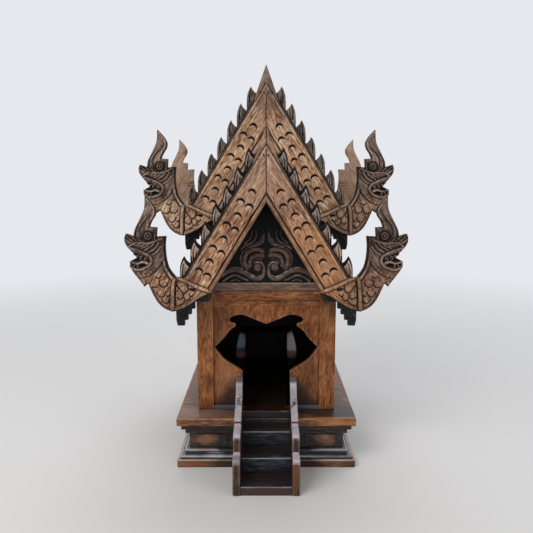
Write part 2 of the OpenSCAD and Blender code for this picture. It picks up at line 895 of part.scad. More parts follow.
// Open mouth between the lips, with the tongue and the teeth left standing in it
module naga_mouth() {
    tooth_w = 3.6;
    difference() {
        polygon(smooth_run([naga_pt(266, 70), naga_pt(252, 68), naga_pt(238, 63), naga_pt(227, 57),
            naga_pt(225, 50), naga_pt(232, 42), naga_pt(243, 38), naga_pt(256, 39), naga_pt(268, 46)], 2));
        naga_strokes([[7, 3, [[228, 47], [238, 50], [248, 46], [266, 50]]]]);
        for (tooth = naga_teeth)
            translate(naga_pt(tooth[0], tooth[1]))
                circle(d = tooth_w);
    }
}

module naga_board() {
    translate([0, wall_top])
        polygon(naga_outline());
}

// Two fillets side by side along the inner edge: raised, or the groove beside it
module edge_fillet(w0, w1) {
    polygon([[gap / 2, inner_apex_h + w0 / cos(pitch)], [foot_x + w0 * sin(pitch), foot_z + w0 * cos(pitch)],
        [foot_x + w1 * sin(pitch), foot_z + w1 * cos(pitch)], [gap / 2, inner_apex_h + w1 / cos(pitch)]]);
}

// Arched notch above one scale, a distance up the slope from the foot and in from the inner edge
module scale_notch(up, in) {
    thick = 4;
    lean = 18;
    translate([foot_x - up * cos(pitch) + in * sin(pitch), foot_z + up * sin(pitch) + in * cos(pitch)])
        rotate(lean)
            difference() {
                circle(d = notch_arch_w);
                translate([0, -thick])
                    circle(d = notch_arch_w);
            }
}

// Rows of scales from the foot up, two and one by turns
module scale_notches() {
    first_up = 22;
    inner_col = 0.39 * board_w;
    outer_col = 0.7 * board_w;
    middle_col = 0.56 * board_w;
    reach = foot_x / cos(pitch) - first_up;
    for (i = [0:floor((reach + 14) / scale_pitch)])
        scale_notch(first_up + i * scale_pitch, outer_col);
    for (i = [0:floor((reach - 4) / scale_pitch)])
        scale_notch(first_up + i * scale_pitch, inner_col);
    for (i = [0:floor((reach - 22) / scale_pitch)])
        scale_notch(first_up + (i + 0.5) * scale_pitch, middle_col);
}

// Raised work on the face: the fillet along the inner edge, then the neck and the head
module naga_relief() {
    difference() {
        intersection() {
            naga_board();
            translate([0, wall_top]) {
                edge_fillet(0, fillet_w);
                naga_strokes(naga_ridges);
            }
        }
        translate([0, wall_top])
            naga_carving();
    }
}

module naga_carving() {
    groove_w = 2;
    edge_fillet(fillet_w, fillet_w + groove_w);
    scale_notches();
    naga_strokes(naga_cuts);
    naga_mouth();
}

// One gable board with its naga, face forward at Y = 0: back, carved layer, raised work
module naga(rise) {
    translate([0, 0, rise]) {
        across(carve_t, board_t - carve_t)
            naga_board();
        across(0, carve_t)
            difference() {
                naga_board();
                translate([0, wall_top])
                    naga_carving();
            }
        across(-relief_t, relief_t)
            naga_relief();
    }
}

module front_naga_right() {
    color(teak)
        on_right()
            translate([0, board_front, 0])
                naga(0);
}

module front_naga_left() {
    color(teak)
        on_left()
            translate([0, board_front, 0])
                naga(0);
}

module hall_naga_right() {
    color(teak)
        on_right()
            translate([0, hall_board_front, 0])
                naga(tier_rise);
}

module hall_naga_left() {
    color(teak)
        on_left()
            translate([0, hall_board_front, 0])
                naga(tier_rise);
}

module rear_naga_right() {
    color(teak)
        on_right()
            translate([0, rear_board_back, 0])
                mirror([0, 1, 0])
                    naga(tier_rise);
}

module rear_naga_left() {
    color(teak)
        on_left()
            translate([0, rear_board_back, 0])
                mirror([0, 1, 0])
                    naga(tier_rise);
}

// One flame leaf in units of its width and height: its hollow side, towards the ridge, from the
// board up to the blunt tip, and its full side from the tip down
leaf_hollow_side = [[-0.48, 0.62], [-0.3, 0.68], [-0.12, 0.78], [0, 0.89], [0.09, 1]];
leaf_full_side = [[0.12, 1], [0.3, 0.8], [0.45, 0.5], [0.5, 0.1]];

module leaf_outline() {
    top = concat(smooth_run(leaf_hollow_side, 3), smooth_run(leaf_full_side, 4));
    polygon(concat([[-leaf_w / 2, 0]], [for (p = top) [p[0] * leaf_w, p[1] * leaf_h]],
        [[leaf_w / 2, -slope * leaf_w / 2]]));
}

// The three flutes of a leaf, from the tip down, in the same units
leaf_flutes = [
    [[0.14, 0.8], [0.25, 0.48], [0.24, 0.08]],
    [[-0.06, 0.66], [0.02, 0.4], [0.05, 0.08]],
    [[-0.3, 0.56], [-0.2, 0.4], [-0.12, 0.22]]
];

module leaf_grooves() {
    for (flute = leaf_flutes)
        polygon(stroke_outline([for (p = flute) [p[0] * leaf_w, p[1] * leaf_h]], 1, 2.4));
}

module each_leaf() {
    for (i = [0:leaves - 1])
        let (x = first_leaf_x + (last_leaf_x - first_leaf_x) * i / (leaves - 1))
            translate([x, wall_top + board_line - slope * x])
                children();
}

// Strip of leaves behind one board, grown out of a rail that follows the slope above the roof
module leaf_strip() {
    rail_top = board_line + 2;
    rail_low = roof_line + 1.5;
    x0 = first_leaf_x - leaf_w / 2;
    x1 = last_leaf_x + leaf_w / 2;
    translate([0, wall_top])
        polygon([[x0, rail_low - slope * x0], [x1, rail_low - slope * x1], [x1, rail_top - slope * x1],
            [x0, rail_top - slope * x0]]);
    each_leaf()
        leaf_outline();
}

// Both strips of one gable, from y0 back, fluted over a layer of their thickness from flute_y back
module flame_leaves(y0, flute_y, rise) {
    plain_y = flute_y > y0 ? y0 : y0 + carve_t;
    for (s = [0, 1])
        mirror([s, 0, 0])
            translate([0, 0, rise]) {
                across(plain_y, leaf_t - carve_t)
                    leaf_strip();
                across(flute_y, carve_t)
                    difference() {
                        leaf_strip();
                        each_leaf()
                            leaf_grooves();
                    }
            }
}

module front_flame_leaves() {
    color(worn_teak)
        flame_leaves(board_back, board_back, 0);
}

module hall_flame_leaves() {
    color(worn_teak)
        flame_leaves(hall_board_back, hall_board_back, tier_rise);
}

module rear_flame_leaves() {
    color(worn_teak)
        flame_leaves(rear_board_front - leaf_t, rear_board_front - carve_t, tier_rise);
}

base_slab();
base_ledge_lower();
base_ledge_upper();
dado();
dado_panels();
bed_moulding();
deck_slab();
stair_stringer_left();
stair_stringer_right();
lower_step();
middle_step();
upper_step();
front_wall();
inner_door_frame();
side_wall_left();
side_wall_right();
rear_wall();
front_stiles();
rear_stiles();
skirting();
front_beam();
front_beam_cap();
side_rails();
rear_beam();
gable_bearers();
front_pediment();
hall_pediment();
rear_pediment();
lower_roof();
upper_roof();
lower_ridge();
upper_ridge();
eave_blocks();
eave_strips();
front_naga_left();
front_naga_right();
hall_naga_left();
hall_naga_right();
rear_naga_left();
rear_naga_right();
front_flame_leaves();
hall_flame_leaves();
rear_flame_leaves();
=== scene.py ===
import math

import bmesh
import bpy
import numpy as np
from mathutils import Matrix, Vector


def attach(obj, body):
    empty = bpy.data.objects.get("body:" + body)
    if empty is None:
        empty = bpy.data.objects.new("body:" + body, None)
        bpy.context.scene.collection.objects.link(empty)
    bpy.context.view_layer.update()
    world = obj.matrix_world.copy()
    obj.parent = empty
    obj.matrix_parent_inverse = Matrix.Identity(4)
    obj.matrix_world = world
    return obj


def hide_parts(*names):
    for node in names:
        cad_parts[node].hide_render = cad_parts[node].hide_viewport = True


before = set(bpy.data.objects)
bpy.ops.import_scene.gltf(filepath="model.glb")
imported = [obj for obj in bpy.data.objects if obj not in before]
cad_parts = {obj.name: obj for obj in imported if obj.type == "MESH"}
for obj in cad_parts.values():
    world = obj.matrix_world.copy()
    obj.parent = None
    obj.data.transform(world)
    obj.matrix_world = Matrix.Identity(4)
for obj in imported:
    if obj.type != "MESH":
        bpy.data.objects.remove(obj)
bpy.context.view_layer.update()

# View. The photograph was taken from in front, a little above the eaves, looking slightly down.
# The house stands on a plain pale floor in soft studio light.
scene = bpy.context.scene
camera = bpy.data.objects.new("view", bpy.data.cameras.new("view"))
camera.location = (0.0, -1.342, 0.580)
looking_down = 8.58
camera.rotation_euler = (math.radians(90 - looking_down), 0, 0)
camera.data.lens = 39.17
camera.data.sensor_width = 36
camera.data.shift_x = 0.0004
camera.data.clip_end = 50
scene.collection.objects.link(camera)
scene.camera = camera
scene.view_settings.view_transform = "Standard"


class Sock:
    """A socket in a material's nodes. Arithmetic on it adds Math nodes."""

    def __init__(self, tree, socket=None):
        self.tree, self.socket = tree, socket

    def add(self, kind, settings=None, inputs=None, out=0):
        node = self.tree.nodes.new(kind)
        for key, value in (settings or {}).items():
            if key == "stops":
                ramp = node.color_ramp
                while len(ramp.elements) < len(value):
                    ramp.elements.new(1.0)
                for stop, (at, colour) in zip(ramp.elements, value):
                    stop.position, stop.color = at, (*colour, 1)
            else:
                setattr(node, key, value)
        for key, value in (inputs or {}).items():
            if isinstance(value, Sock):
                value.feed(node.inputs[key])
            elif node.inputs[key].type == "RGBA":
                node.inputs[key].default_value = (*value, 1)
            else:
                node.inputs[key].default_value = value
        return Sock(self.tree, node.outputs[out])

    def feed(self, entry):
        self.tree.links.new(self.socket, entry)

    def maths(self, operation, *values):
        return self.add("ShaderNodeMath", {"operation": operation}, dict(enumerate(values)))

    def vectors(self, operation, *values, out=0):
        return self.add("ShaderNodeVectorMath", {"operation": operation}, dict(enumerate(values)), out)

    def __add__(self, other):
        return self.maths("ADD", self, other)

    def __sub__(self, other):
        return self.maths("SUBTRACT", self, other)

    def __mul__(self, other):
        return self.maths("MULTIPLY", self, other)

    __radd__, __rmul__ = __add__, __mul__

    def __rsub__(self, other):
        return self.maths("SUBTRACT", other, self)

    def clamp(self):
        return self.add("ShaderNodeClamp", None, {"Value": self})

    def step(self, low, high):
        return self.add("ShaderNodeMapRange", {"interpolation_type": "SMOOTHSTEP"},
                        {"Value": self, "From Min": low, "From Max": high})

    def mix(self, a, b):
        return self.add("ShaderNodeMix", {"data_type": "RGBA"}, {0: self, 6: a, 7: b}, out=2)


def new_material(name):
    material = bpy.data.materials.new(name)
    material.use_nodes = True
    return material, Sock(material.node_tree), material.node_tree.nodes["Principled BSDF"]


# The floor fades out some way from the house, so that no edge of it shows
floor = bpy.data.objects.new("floor", bpy.data.meshes.new("floor"))
sheet = bmesh.new()
bmesh.ops.create_grid(sheet, x_segments=1, y_segments=1, size=6)
sheet.to_mesh(floor.data)
sheet.free()
scene.collection.objects.link(floor)
material, sock, shader = new_material("pale floor")
shader.inputs["Base Color"].default_value = (0.74, 0.73, 0.72, 1)
shader.inputs["Roughness"].default_value = 0.8
here = sock.add("ShaderNodeTexCoord", out="Object")
solid_to, gone_at = 0.7, 2.6
away = sock.vectors("LENGTH", here, out="Value").step(solid_to, gone_at)
clear = sock.add("ShaderNodeBsdfTransparent")
solid = Sock(sock.tree, shader.outputs[0])
faded = sock.add("ShaderNodeMixShader", None, {0: away, 1: solid, 2: clear})
faded.feed(sock.tree.nodes["Material Output"].inputs["Surface"])
floor.data.materials.append(material)

# The camera and the gloss see a paler sky than the one that lights the house
world = bpy.data.worlds.new("studio")
scene.world = world
world.use_nodes = True
sock = Sock(world.node_tree)
seen, shiny, through = (sock.add("ShaderNodeLightPath", out=name)
                        for name in ("Is Camera Ray", "Is Glossy Ray", "Is Transmission Ray"))
seen = sock.maths("MAXIMUM", sock.maths("MAXIMUM", seen, shiny), through)
background = world.node_tree.nodes["Background"]
background.inputs["Color"].default_value = (0.86, 0.88, 0.92, 1)
(0.42 + 0.5 * seen).feed(background.inputs["Strength"])

aim = Vector((0, 0, 0.35))
for name, place, power, size, tint in (
        ("key", (-1.3, -1.7, 2.0), 34, 1.5, (1.0, 0.97, 0.93)),
        ("fill", (1.9, -1.5, 1.1), 12, 1.8, (1.0, 0.96, 0.92)),
        ("sky", (0.2, 1.3, 2.4), 30, 1.8, (0.92, 0.95, 1.0))):
    lamp = bpy.data.lights.new(name, "AREA")
    lamp.energy, lamp.size, lamp.color = power, size, tint
    lamp = bpy.data.objects.new(name, lamp)
    lamp.location = place
    lamp.rotation_euler = (aim - Vector(place)).to_track_quat("-Z", "Y").to_euler()
    scene.collection.objects.link(lamp)


# Base slab. The lowest board of the plinth, sawn from one wide teak plank and notched in front for
# the stair. It was stained nearly black, and handling has rubbed its front edge back to brown. Its
# top arris and top carry a painted highlight.
def srgb(r, g, b):
    """A colour given as it looks on screen, as Blender wants it."""
    return tuple(((c / 255 + 0.055) / 1.055) ** 2.4 if c > 10 else c / 255 / 12.92 for c in (r, g, b))


def patch(sock, centre, size):
    """A soft mark with a ragged outline, its middle and half sizes in millimetres.

    It shows on both halves of the house, unless its y is negative.
    """
    ragged, soft = 0.7, 0.45
    centre, size = ([c / 1000 for c in sizes] for sizes in (centre, size))
    here = sock.add("ShaderNodeTexCoord", out="Object")
    place = sock.vectors("ABSOLUTE", here) if centre[1] >= 0 else here
    place = sock.vectors("DIVIDE", sock.vectors("SUBTRACT", place, centre), size)
    away = sock.vectors("LENGTH", place, out="Value")
    noise = sock.add("ShaderNodeTexNoise", None, {"Vector": here, "Scale": 70, "Detail": 3})
    return 1 - (away + (noise - 0.5) * ragged).step(1 - soft, 1 + soft)


def axes(sock, place):
    """The three coordinates of a place, apart."""
    parts = sock.add("ShaderNodeSeparateXYZ", None, {0: place}).socket.node.outputs
    return [Sock(sock.tree, parts[axis]) for axis in "XYZ"]


def teak(name, tones, along, turn=0.0, head=None, long=0.1, streak=1.0, gloss=0.42, sheen=0.3,
         edge=None, wear=0.5, soot_shade_tone=(14, 9, 7), crevice=0.012, carved=False, aged=None, shaded_inside=False,
         marks=()):
    """Oiled teak in tones from dark to light, with edges worn and painted pale as highlights, and
    soot and painted shade in its crevices.

    The grain runs along one axis, leant over by turn, and across above the height head. The fibres
    are drawn out by long, and streak is their contrast. Aged tones show where the piece is weathered.
    A mark is a patch's middle and half sizes, its strength and its tone.
    """
    material, sock, shader = new_material(name)
    here = sock.add("ShaderNodeTexCoord", out="Object")
    place = here
    if turn:
        across, deep, up = axes(sock, place)
        side = sock.maths("SIGN", across)
        place = sock.add("ShaderNodeCombineXYZ", None,
                         {"X": sock.maths("ABSOLUTE", across), "Y": deep * 3 + 0.37 * side, "Z": up})
        place = sock.add("ShaderNodeMapping", None, {"Vector": place, "Rotation": (0, turn, 0)})
    if head:
        across, deep, up = axes(sock, place)
        turned = sock.add("ShaderNodeCombineXYZ", None, {"X": up, "Y": deep + 0.4, "Z": across})
        ragged = sock.add("ShaderNodeTexNoise", None, {"Vector": place, "Scale": 60, "Detail": 3})
        above = sock.maths("GREATER_THAN", up + (ragged - 0.5) * 0.03, head)
        place = sock.add("ShaderNodeMix", {"data_type": "VECTOR"},
                         {0: above, 4: place, 5: turned}, out=1)

    def grain(scale, stretch, detail, **more):
        lengths = [stretch if axis == along else 1.0 for axis in "xyz"]
        drawn = sock.add("ShaderNodeMapping", None, {"Vector": place, "Scale": lengths})
        more.update(Vector=drawn, Scale=scale, Detail=detail)
        return sock.add("ShaderNodeTexNoise", None, more)

    def ramp(tones):
        stops = [(at, srgb(*tone)) for at, tone in zip((0.12, 0.42, 0.62, 0.95), tones)]
        return sock.add("ShaderNodeValToRGB", {"stops": stops}, {0: figure})

    def painted(layer):
        return sock.add("ShaderNodeAttribute", {"attribute_name": layer}, out=2)

    # Drawn-out noises for the grain, from fine to broad, then even ones for the patina and specks
    fibre = grain(420, long, 4, Roughness=0.68)
    pore = grain(900, 0.1, 1)
    mottle = grain(120, 0.22 if turn else 0.35, 3, Distortion=0.4)
    band = grain(34, 0.16, 3, Distortion=0.6)
    patina = grain(16, 1.0, 4, Roughness=0.6)
    speck = grain(140, 1.0, 3)
    figure = ((fibre - 0.5) * (1.9 * streak) + (mottle - 0.5) * 0.75 + (band - 0.5) * 0.4
              + (patina - 0.5) * 0.65 + 0.5)
    colour = ramp(tones)
    rim = srgb(*edge) if edge else None
    if aged:
        weather = painted("weather")
        colour = weather.mix(colour, ramp(aged))
        rim = weather.mix(rim, srgb(*aged[3]))
    pits = pore.step(0.60, 0.68) * 0.55
    colour = pits.mix(colour, srgb(*[c * 0.45 for c in tones[0]]))
    # Soot and painted shade in the corners and cuts, pale arrises worn and highlit, then the marks
    # Painted shade: darker in corners and crevices, from ambient occlusion, with soot mixed in
    corner = sock.add("ShaderNodeAmbientOcclusion", {"samples": 6}, {"Distance": crevice}, out=1)
    soot_and_shade = (1 - corner).step(0.25, 0.85) * (0.55 + 0.9 * patina)
    if carved:
        # Soot and painted shade in the carved cuts and hollows
        cut_soot_and_shade = painted("cut") * (0.85 + 0.5 * patina)
        soot_and_shade = sock.maths("MAXIMUM", soot_and_shade * 0.6, cut_soot_and_shade.clamp())
        # Painted highlights on the proud carving, with rubbed wear
        colour = (painted("rubbed") * speck.step(0.3, 0.7) * 0.85).mix(colour, rim)
    elif edge:
        # Edges, and on some pieces the tops, are painted pale: wear and painted highlight
        rubbed_through = (patina + (speck - 0.5) * 0.5).step(0.58 - 0.4 * wear, 0.8 - 0.4 * wear)
        worn_and_highlit = painted("edge") * rubbed_through
        colour = (worn_and_highlit * (0.66 + 0.6 * figure)).clamp().mix(colour, rim)
    for centre, size, strength, tone in marks:
        amount = patch(sock, centre, size) * strength * (0.6 + 0.8 * figure)
        colour = amount.clamp().mix(colour, srgb(*tone))
    colour = soot_and_shade.clamp().mix(colour, srgb(*soot_shade_tone))
    # Painted shade: the inside of the room is painted near black
    if shaded_inside:
        room_side, room_front, room_rear = 0.123, -0.1705, 0.1686
        across, deep, up = axes(sock, here)
        inside = 1 - sock.maths("ABSOLUTE", across).step(room_side - 0.0002, room_side + 0.0002)
        inside = inside * deep.step(room_front - 0.002, room_front + 0.002)
        inside = inside * (1 - deep.step(room_rear - 0.0004, room_rear + 0.0004))
        colour = (inside * 0.93).mix(colour, srgb(9, 8, 8))
    colour.feed(shader.inputs["Base Color"])
    rough = gloss + (fibre - 0.5) * 0.25 + soot_and_shade.clamp() * 0.2 + (patina - 0.5) * 0.2
    rough.clamp().feed(shader.inputs["Roughness"])
    height = fibre * 0.5 + pits * -0.8 + speck * 0.25
    bump = sock.add("ShaderNodeBump", None, {"Height": height, "Strength": 0.35, "Distance": 0.0006})
    bump.feed(shader.inputs["Normal"])
    shader.inputs["Specular IOR Level"].default_value = sheen
    return material


def finish_mesh(work, name, material, slot, *nodes):
    """Turns a worked bmesh into a piece that stands for the given CAD nodes."""
    mesh = bpy.data.meshes.new(name)
    work.to_mesh(mesh)
    work.free()
    piece = bpy.data.objects.new(name, mesh)
    scene.collection.objects.link(piece)
    mesh.materials.append(material)
    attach(piece, "root")
    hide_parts(*nodes)
    return piece


def sawn(node):
    """The CAD node's solid with its loose triangles joined into whole faces."""
    work = bmesh.new()
    work.from_mesh(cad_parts[node].data)
    bmesh.ops.remove_doubles(work, verts=work.verts, dist=2e-5)
    bmesh.ops.dissolve_limit(work, angle_limit=math.radians(0.4), verts=work.verts, edges=work.edges)
    return work


def plane_edges(work, width, segments, top_sheen_and_wear):
    """Takes the sharp corners off. Marks the new faces as wear and painted highlight, most where they
    face up.
    """
    layer = work.faces.layers.float.new("edge")
    corner = math.radians(28)
    sharp = [e for e in work.edges if len(e.link_faces) == 2 and e.calc_face_angle(0) > corner]
    made = bmesh.ops.bevel(work, geom=sharp, offset=width, offset_type="OFFSET", segments=segments,
                           profile=0.5, affect="EDGES", clamp_overlap=True, material=-1)
    work.normal_update()
    # Faces that face up get the most: painted highlight and sheen where light falls from above, with
    # wear
    for face in work.faces:
        face[layer] = top_sheen_and_wear * min(max((face.normal.z - 0.15) / 0.45, 0.0), 1.0)
    for face in made["faces"]:
        face[layer] = 0.2 + 0.8 * math.sqrt(max(face.normal.z, 0.0))


def joinery(name, node, material, slot, width, segments=2, top_sheen_and_wear=0.0):
    """A sawn piece with planed edges; the last argument paints its level faces pale too, as sheen and
    wear.
    """
    work = sawn(node)
    plane_edges(work, width, segments, top_sheen_and_wear)
    finish_mesh(work, name, material, slot, node)


slab_marks = [
    ((-165, -241, 5), (60, 20, 10), 0.7, (152, 98, 60)),
    ((78, 241, 6), (30, 20, 20), 0.7, (40, 25, 19)),
    ((215, -241, 6), (60, 20, 20), 0.5, (52, 35, 27))]
slab_teak = teak("slab teak", [(30, 16, 10), (88, 55, 35), (124, 82, 54), (164, 118, 84)], "x",
                 edge=(204, 182, 166), wear=1.1, marks=slab_marks)
joinery("base_board", "base_slab", slab_teak, "dark_teak", 0.0024, 3, top_sheen_and_wear=0.6)

# Base ledges. Two thinner teak boards glued one above the other, stepping in over the slab. Their
# tops are varnished over black stain, and a painted highlight runs along their front edges and tops,
# brightened and broken in places by marks.
# The palest mark brightens the painted highlight; the dark grey ones take it away
ledge_highlight_marks = [
    ((70, 222, 34.5), (32, 12, 7), 1.3, (40, 40, 44)),
    ((168, -222, 34.5), (45, 12, 7), 0.3, (104, 96, 94)),
    ((-128, -222, 34.5), (20, 12, 4), 0.8, (142, 112, 96)),
    ((170, -232, 23.5), (70, 12, 6), 0.8, (66, 69, 76)),
    ((-105, -232, 23.5), (22, 12, 4), 0.7, (206, 200, 204))]
ledge_teak = teak("ledge teak", [(20, 18, 19), (38, 36, 39), (56, 55, 58), (92, 88, 90)], "x",
                  edge=(188, 184, 190), wear=1.0, gloss=0.28, sheen=0.5, crevice=0.009,
                  marks=ledge_highlight_marks)
joinery("ledge_below", "base_ledge_lower", ledge_teak, "dark_teak", 0.0026, 4, top_sheen_and_wear=0.4)
joinery("ledge_above", "base_ledge_upper", ledge_teak, "dark_teak", 0.003, 4, top_sheen_and_wear=0.3)

# Dado. The upright teak boards of the plinth, glued up as a frame, with thin raised fields glued on.
# They are stained black, with a brown rub mark in the middle of each field.
rub_marks = [
    ((113, 216, 55), (14, 20, 11), 0.75, (128, 92, 66)),
    ((126, 216, 50), (14, 20, 12), 0.8, (124, 90, 66)),
    ((121, 216, 56), (8, 20, 5), 0.6, (150, 112, 84)),
    ((-128, -216, 50), (26, 20, 6), 0.8, (140, 104, 76)),
    ((-149, -216, 50), (7, 20, 30), 0.6, (88, 66, 54)),
    ((160, 155, 50), (20, 35, 9), 0.6, (104, 78, 60)),
    ((160, 0, 50), (20, 45, 8), 0.5, (104, 78, 60))]
dado_teak = teak("dado teak", [(26, 23, 24), (46, 43, 44), (62, 56, 54), (96, 84, 76)], "x",
                 edge=(124, 108, 96), gloss=0.36, crevice=0.008, marks=rub_marks)
joinery("dado_boards", "dado", dado_teak, "black_teak", 0.0008)
joinery("dado_fields", "dado_panels", dado_teak, "dark_teak", 0.0009)

# Bed moulding. Two stepped teak strips glued under the deck slab all round, which hide its joint
# with the dado. They are painted nearly black as shade, where the deck overhangs them.
shade_teak = teak("shade teak", [(22, 16, 14), (48, 39, 36), (68, 57, 52), (96, 84, 76)], "x",
                  edge=(110, 94, 84), gloss=0.36, crevice=0.008)
joinery("bed_strips", "bed_moulding", shade_teak, "black_teak", 0.002, 3)

# Deck slab. The wide teak board that the hall is pinned to. It is brown, with a lighter arris all
# round, worn and painted as a highlight, and black patina where it meets the hall and the stair.
# Inside the room it is painted near black as shade.
deck_marks = [
    ((90, 196, 105), (40, 18, 12), 0.9, (44, 38, 37)),
    ((-150, -205, 105), (80, 30, 8), 0.7, (140, 112, 98)),
    ((150, -205, 105), (65, 40, 8), 1.1, (52, 37, 30)),
    ((140, -232, 97), (60, 6, 9), 0.85, (184, 122, 72)),
    ((0, 198, 94), (60, 12, 12), 1.4, (28, 31, 36)),
    ((0, 184, 105), (60, 16, 6), 1.1, (40, 22, 16)),
    ((142, 120, 105), (20, 75, 20), 0.5, (52, 42, 36))]
deck_teak = teak("deck teak", [(50, 26, 14), (106, 65, 39), (142, 94, 59), (178, 130, 90)], "x",
                 edge=(172, 128, 92), wear=0.8, gloss=0.36, sheen=0.4, crevice=0.006, shaded_inside=True,
                 marks=deck_marks)
joinery("deck_board", "deck_slab", deck_teak, "honey_teak", 0.0022, 3)

# Stair. Two scalloped teak sides let into the notch of the plinth, with three blackened treads glued
# between them. The tops of the sides are painted silvery grey as a reflection of the sky, the
# nosings carry a painted highlight, and painted shade darkens the notches of the sides.
side_marks_shade_and_sheen = [
    ((55, 190, 172), (12, 12, 14), 0.9, (88, 80, 76)),
    ((-55, -197, 150), (10, 16, 14), 0.7, (120, 100, 90)),
    # Painted reflection: grey-blue on the top of the right side
    ((55, -206, 140), (7, 14, 16), 0.7, (124, 128, 142)),
    ((-55, -262, 93), (12, 18, 10), 0.9, (80, 82, 84)),
    ((55, -262, 93), (12, 18, 10), 0.9, (106, 88, 84)),
    ((-55, -336, 66), (12, 12, 8), 0.7, (122, 108, 98)),
    ((55, -292, 74), (14, 6, 12), 0.7, (108, 84, 68)),
    ((55, -346, 34), (14, 10, 26), 0.75, (108, 66, 38)),
    # Painted shade in the notches of the sides
    ((55, 239, 97), (14, 4, 6), 1.3, (14, 12, 12)),
    ((55, 292, 59), (14, 4, 5), 1.3, (14, 12, 12)),
    ((-55, -346, 12), (12, 10, 12), 0.6, (46, 33, 28))]
side_teak = teak("stair side teak", [(22, 12, 8), (54, 31, 20), (78, 48, 32), (112, 80, 60)], "z",
                 edge=(190, 183, 190), wear=0.95, gloss=0.40, sheen=0.35, crevice=0.006,
                 marks=side_marks_shade_and_sheen)
for side in ("left", "right"):
    joinery("stair_side_" + side, "stair_stringer_" + side, side_teak, "worn_teak", 0.0024, 3, top_sheen_and_wear=0.95)
bar_marks = [
    ((0, 346, 6), (70, 6, 11), 0.95, (72, 47, 36)),
    ((0, 308, 17), (60, 24, 4), 0.8, (46, 28, 22)),
    ((0, 252, 46), (60, 24, 4), 0.7, (40, 26, 22)),
    ((0, 205, 75), (60, 20, 4), 0.7, (40, 26, 22))]
# The treads' pale nosings are a painted highlight
tread_teak = teak("tread teak", [(8, 9, 12), (30, 34, 41), (52, 59, 68), (88, 97, 106)], "x",
                  edge=(166, 158, 160), wear=0.9, gloss=0.4, sheen=0.35, crevice=0.01,
                  marks=bar_marks)
for name, node in (
        ("tread_low", "lower_step"), ("tread_middle", "middle_step"), ("tread_high", "upper_step")):
    joinery(name, node, tread_teak, "black_teak", 0.0014)

# Hall walls. Wide orange-brown teak boards with open grain, standing on the deck. The front one is
# sawn out for the doorway, and over the door its grain lies level. Its cut edge is worn pale and
# carries a painted highlight where it faces up, the board beside the stair is darker low down, and
# the room inside is painted near black as shade.
wall_marks = [
    ((-82, -187, 165), (28, 20, 50), 0.6, (158, 108, 74)),
    ((84, -187, 170), (28, 20, 50), 0.35, (72, 43, 27)),
    ((-112, -182, 265), (18, 20, 50), 0.5, (70, 42, 26))]
for side in (-1, 1):
    wall_marks += [
        ((side * 68, -182, 116), (26, 20, 44), 0.85, (40, 34, 33)),
        ((side * 90, -182, 106), (30, 20, 20), 0.7, (50, 41, 38)),
        ((side * 122, -182, 360), (10, 20, 20), 0.6, (70, 44, 28))]
wall_tones = [(60, 28, 12), (118, 69, 36), (150, 94, 53), (188, 132, 82)]
wall_wood = dict(gloss=0.46, sheen=0.22, crevice=0.006, shaded_inside=True)
door_head = 0.322
front_teak = teak("front wall teak", wall_tones, "z", head=door_head, streak=0.75, long=0.2,
                  edge=(196, 178, 172), wear=1.3, marks=wall_marks, **wall_wood)
wall_teak = teak("wall teak", wall_tones, "z", long=0.07, edge=(150, 106, 72), **wall_wood)
joinery("wall_front", "front_wall", front_teak, "body_teak", 0.0018, 3)
for name, node in (
        ("wall_left", "side_wall_left"), ("wall_right", "side_wall_right"), ("wall_rear", "rear_wall")):
    joinery(name, node, wall_teak, "body_teak", 0.001)

# Inner door frame. Two teak posts that lean in at the head and a lintel, pinned behind the cut-out.
# They are black, with painted highlights near the top of the posts, and the lintel is painted
# blacker as shade.
post_highlights_and_shade = [
    # Painted highlights near the tops of the posts
    ((-54, -170, 244), (12, 30, 16), 1.0, (64, 72, 78)),
    ((54, -170, 241), (12.5, 30, 23), 1.0, (100, 98, 103)),
    ((54, 170, 218), (12, 30, 8), 0.8, (54, 39, 31)),
    # Painted shade: the lintel is painted black
    ((20, 170, 269), (30, 30, 7), 1.6, (1, 1, 1))]
post_teak = teak("post teak", [(1, 1, 1), (4, 4, 4), (8, 7, 7), (20, 18, 18)], "z",
                 gloss=0.6, sheen=0.0, crevice=0.01, marks=post_highlights_and_shade)
joinery("door_posts", "inner_door_frame", post_teak, "black_teak", 0.0015, 3)

# Corner stiles. Upright teak boards pinned over the corners of the hall, front and rear, where they
# hide the end grain of the wall boards. Their grain is straighter and their tone more orange.
thin_wood = dict(gloss=0.40, sheen=0.25, crevice=0.006)
stile_teak = teak("stile teak", [(70, 34, 14), (124, 74, 40), (154, 98, 57), (184, 130, 82)], "z",
                  streak=0.75, long=0.18, edge=(170, 122, 84), **thin_wood)
joinery("stiles_front", "front_stiles", stile_teak, "body_teak", 0.0012)
joinery("stiles_rear", "rear_stiles", stile_teak, "body_teak", 0.0012)

# Skirting. A low teak strip pinned along the foot of the walls between the stiles. It has a painted
# grey sheen in front.
skirt_sheen = [((80, 190, 108), (45, 20, 20), 1.1, (86, 87, 93))]
skirt_teak = teak("skirting teak", [(46, 30, 23), (88, 60, 44), (112, 80, 60), (136, 106, 86)], "x",
                  edge=(96, 76, 64), gloss=0.36, sheen=0.4, crevice=0.003, marks=skirt_sheen)
joinery("skirting_strip", "skirting", skirt_teak, "dark_teak", 0.001)

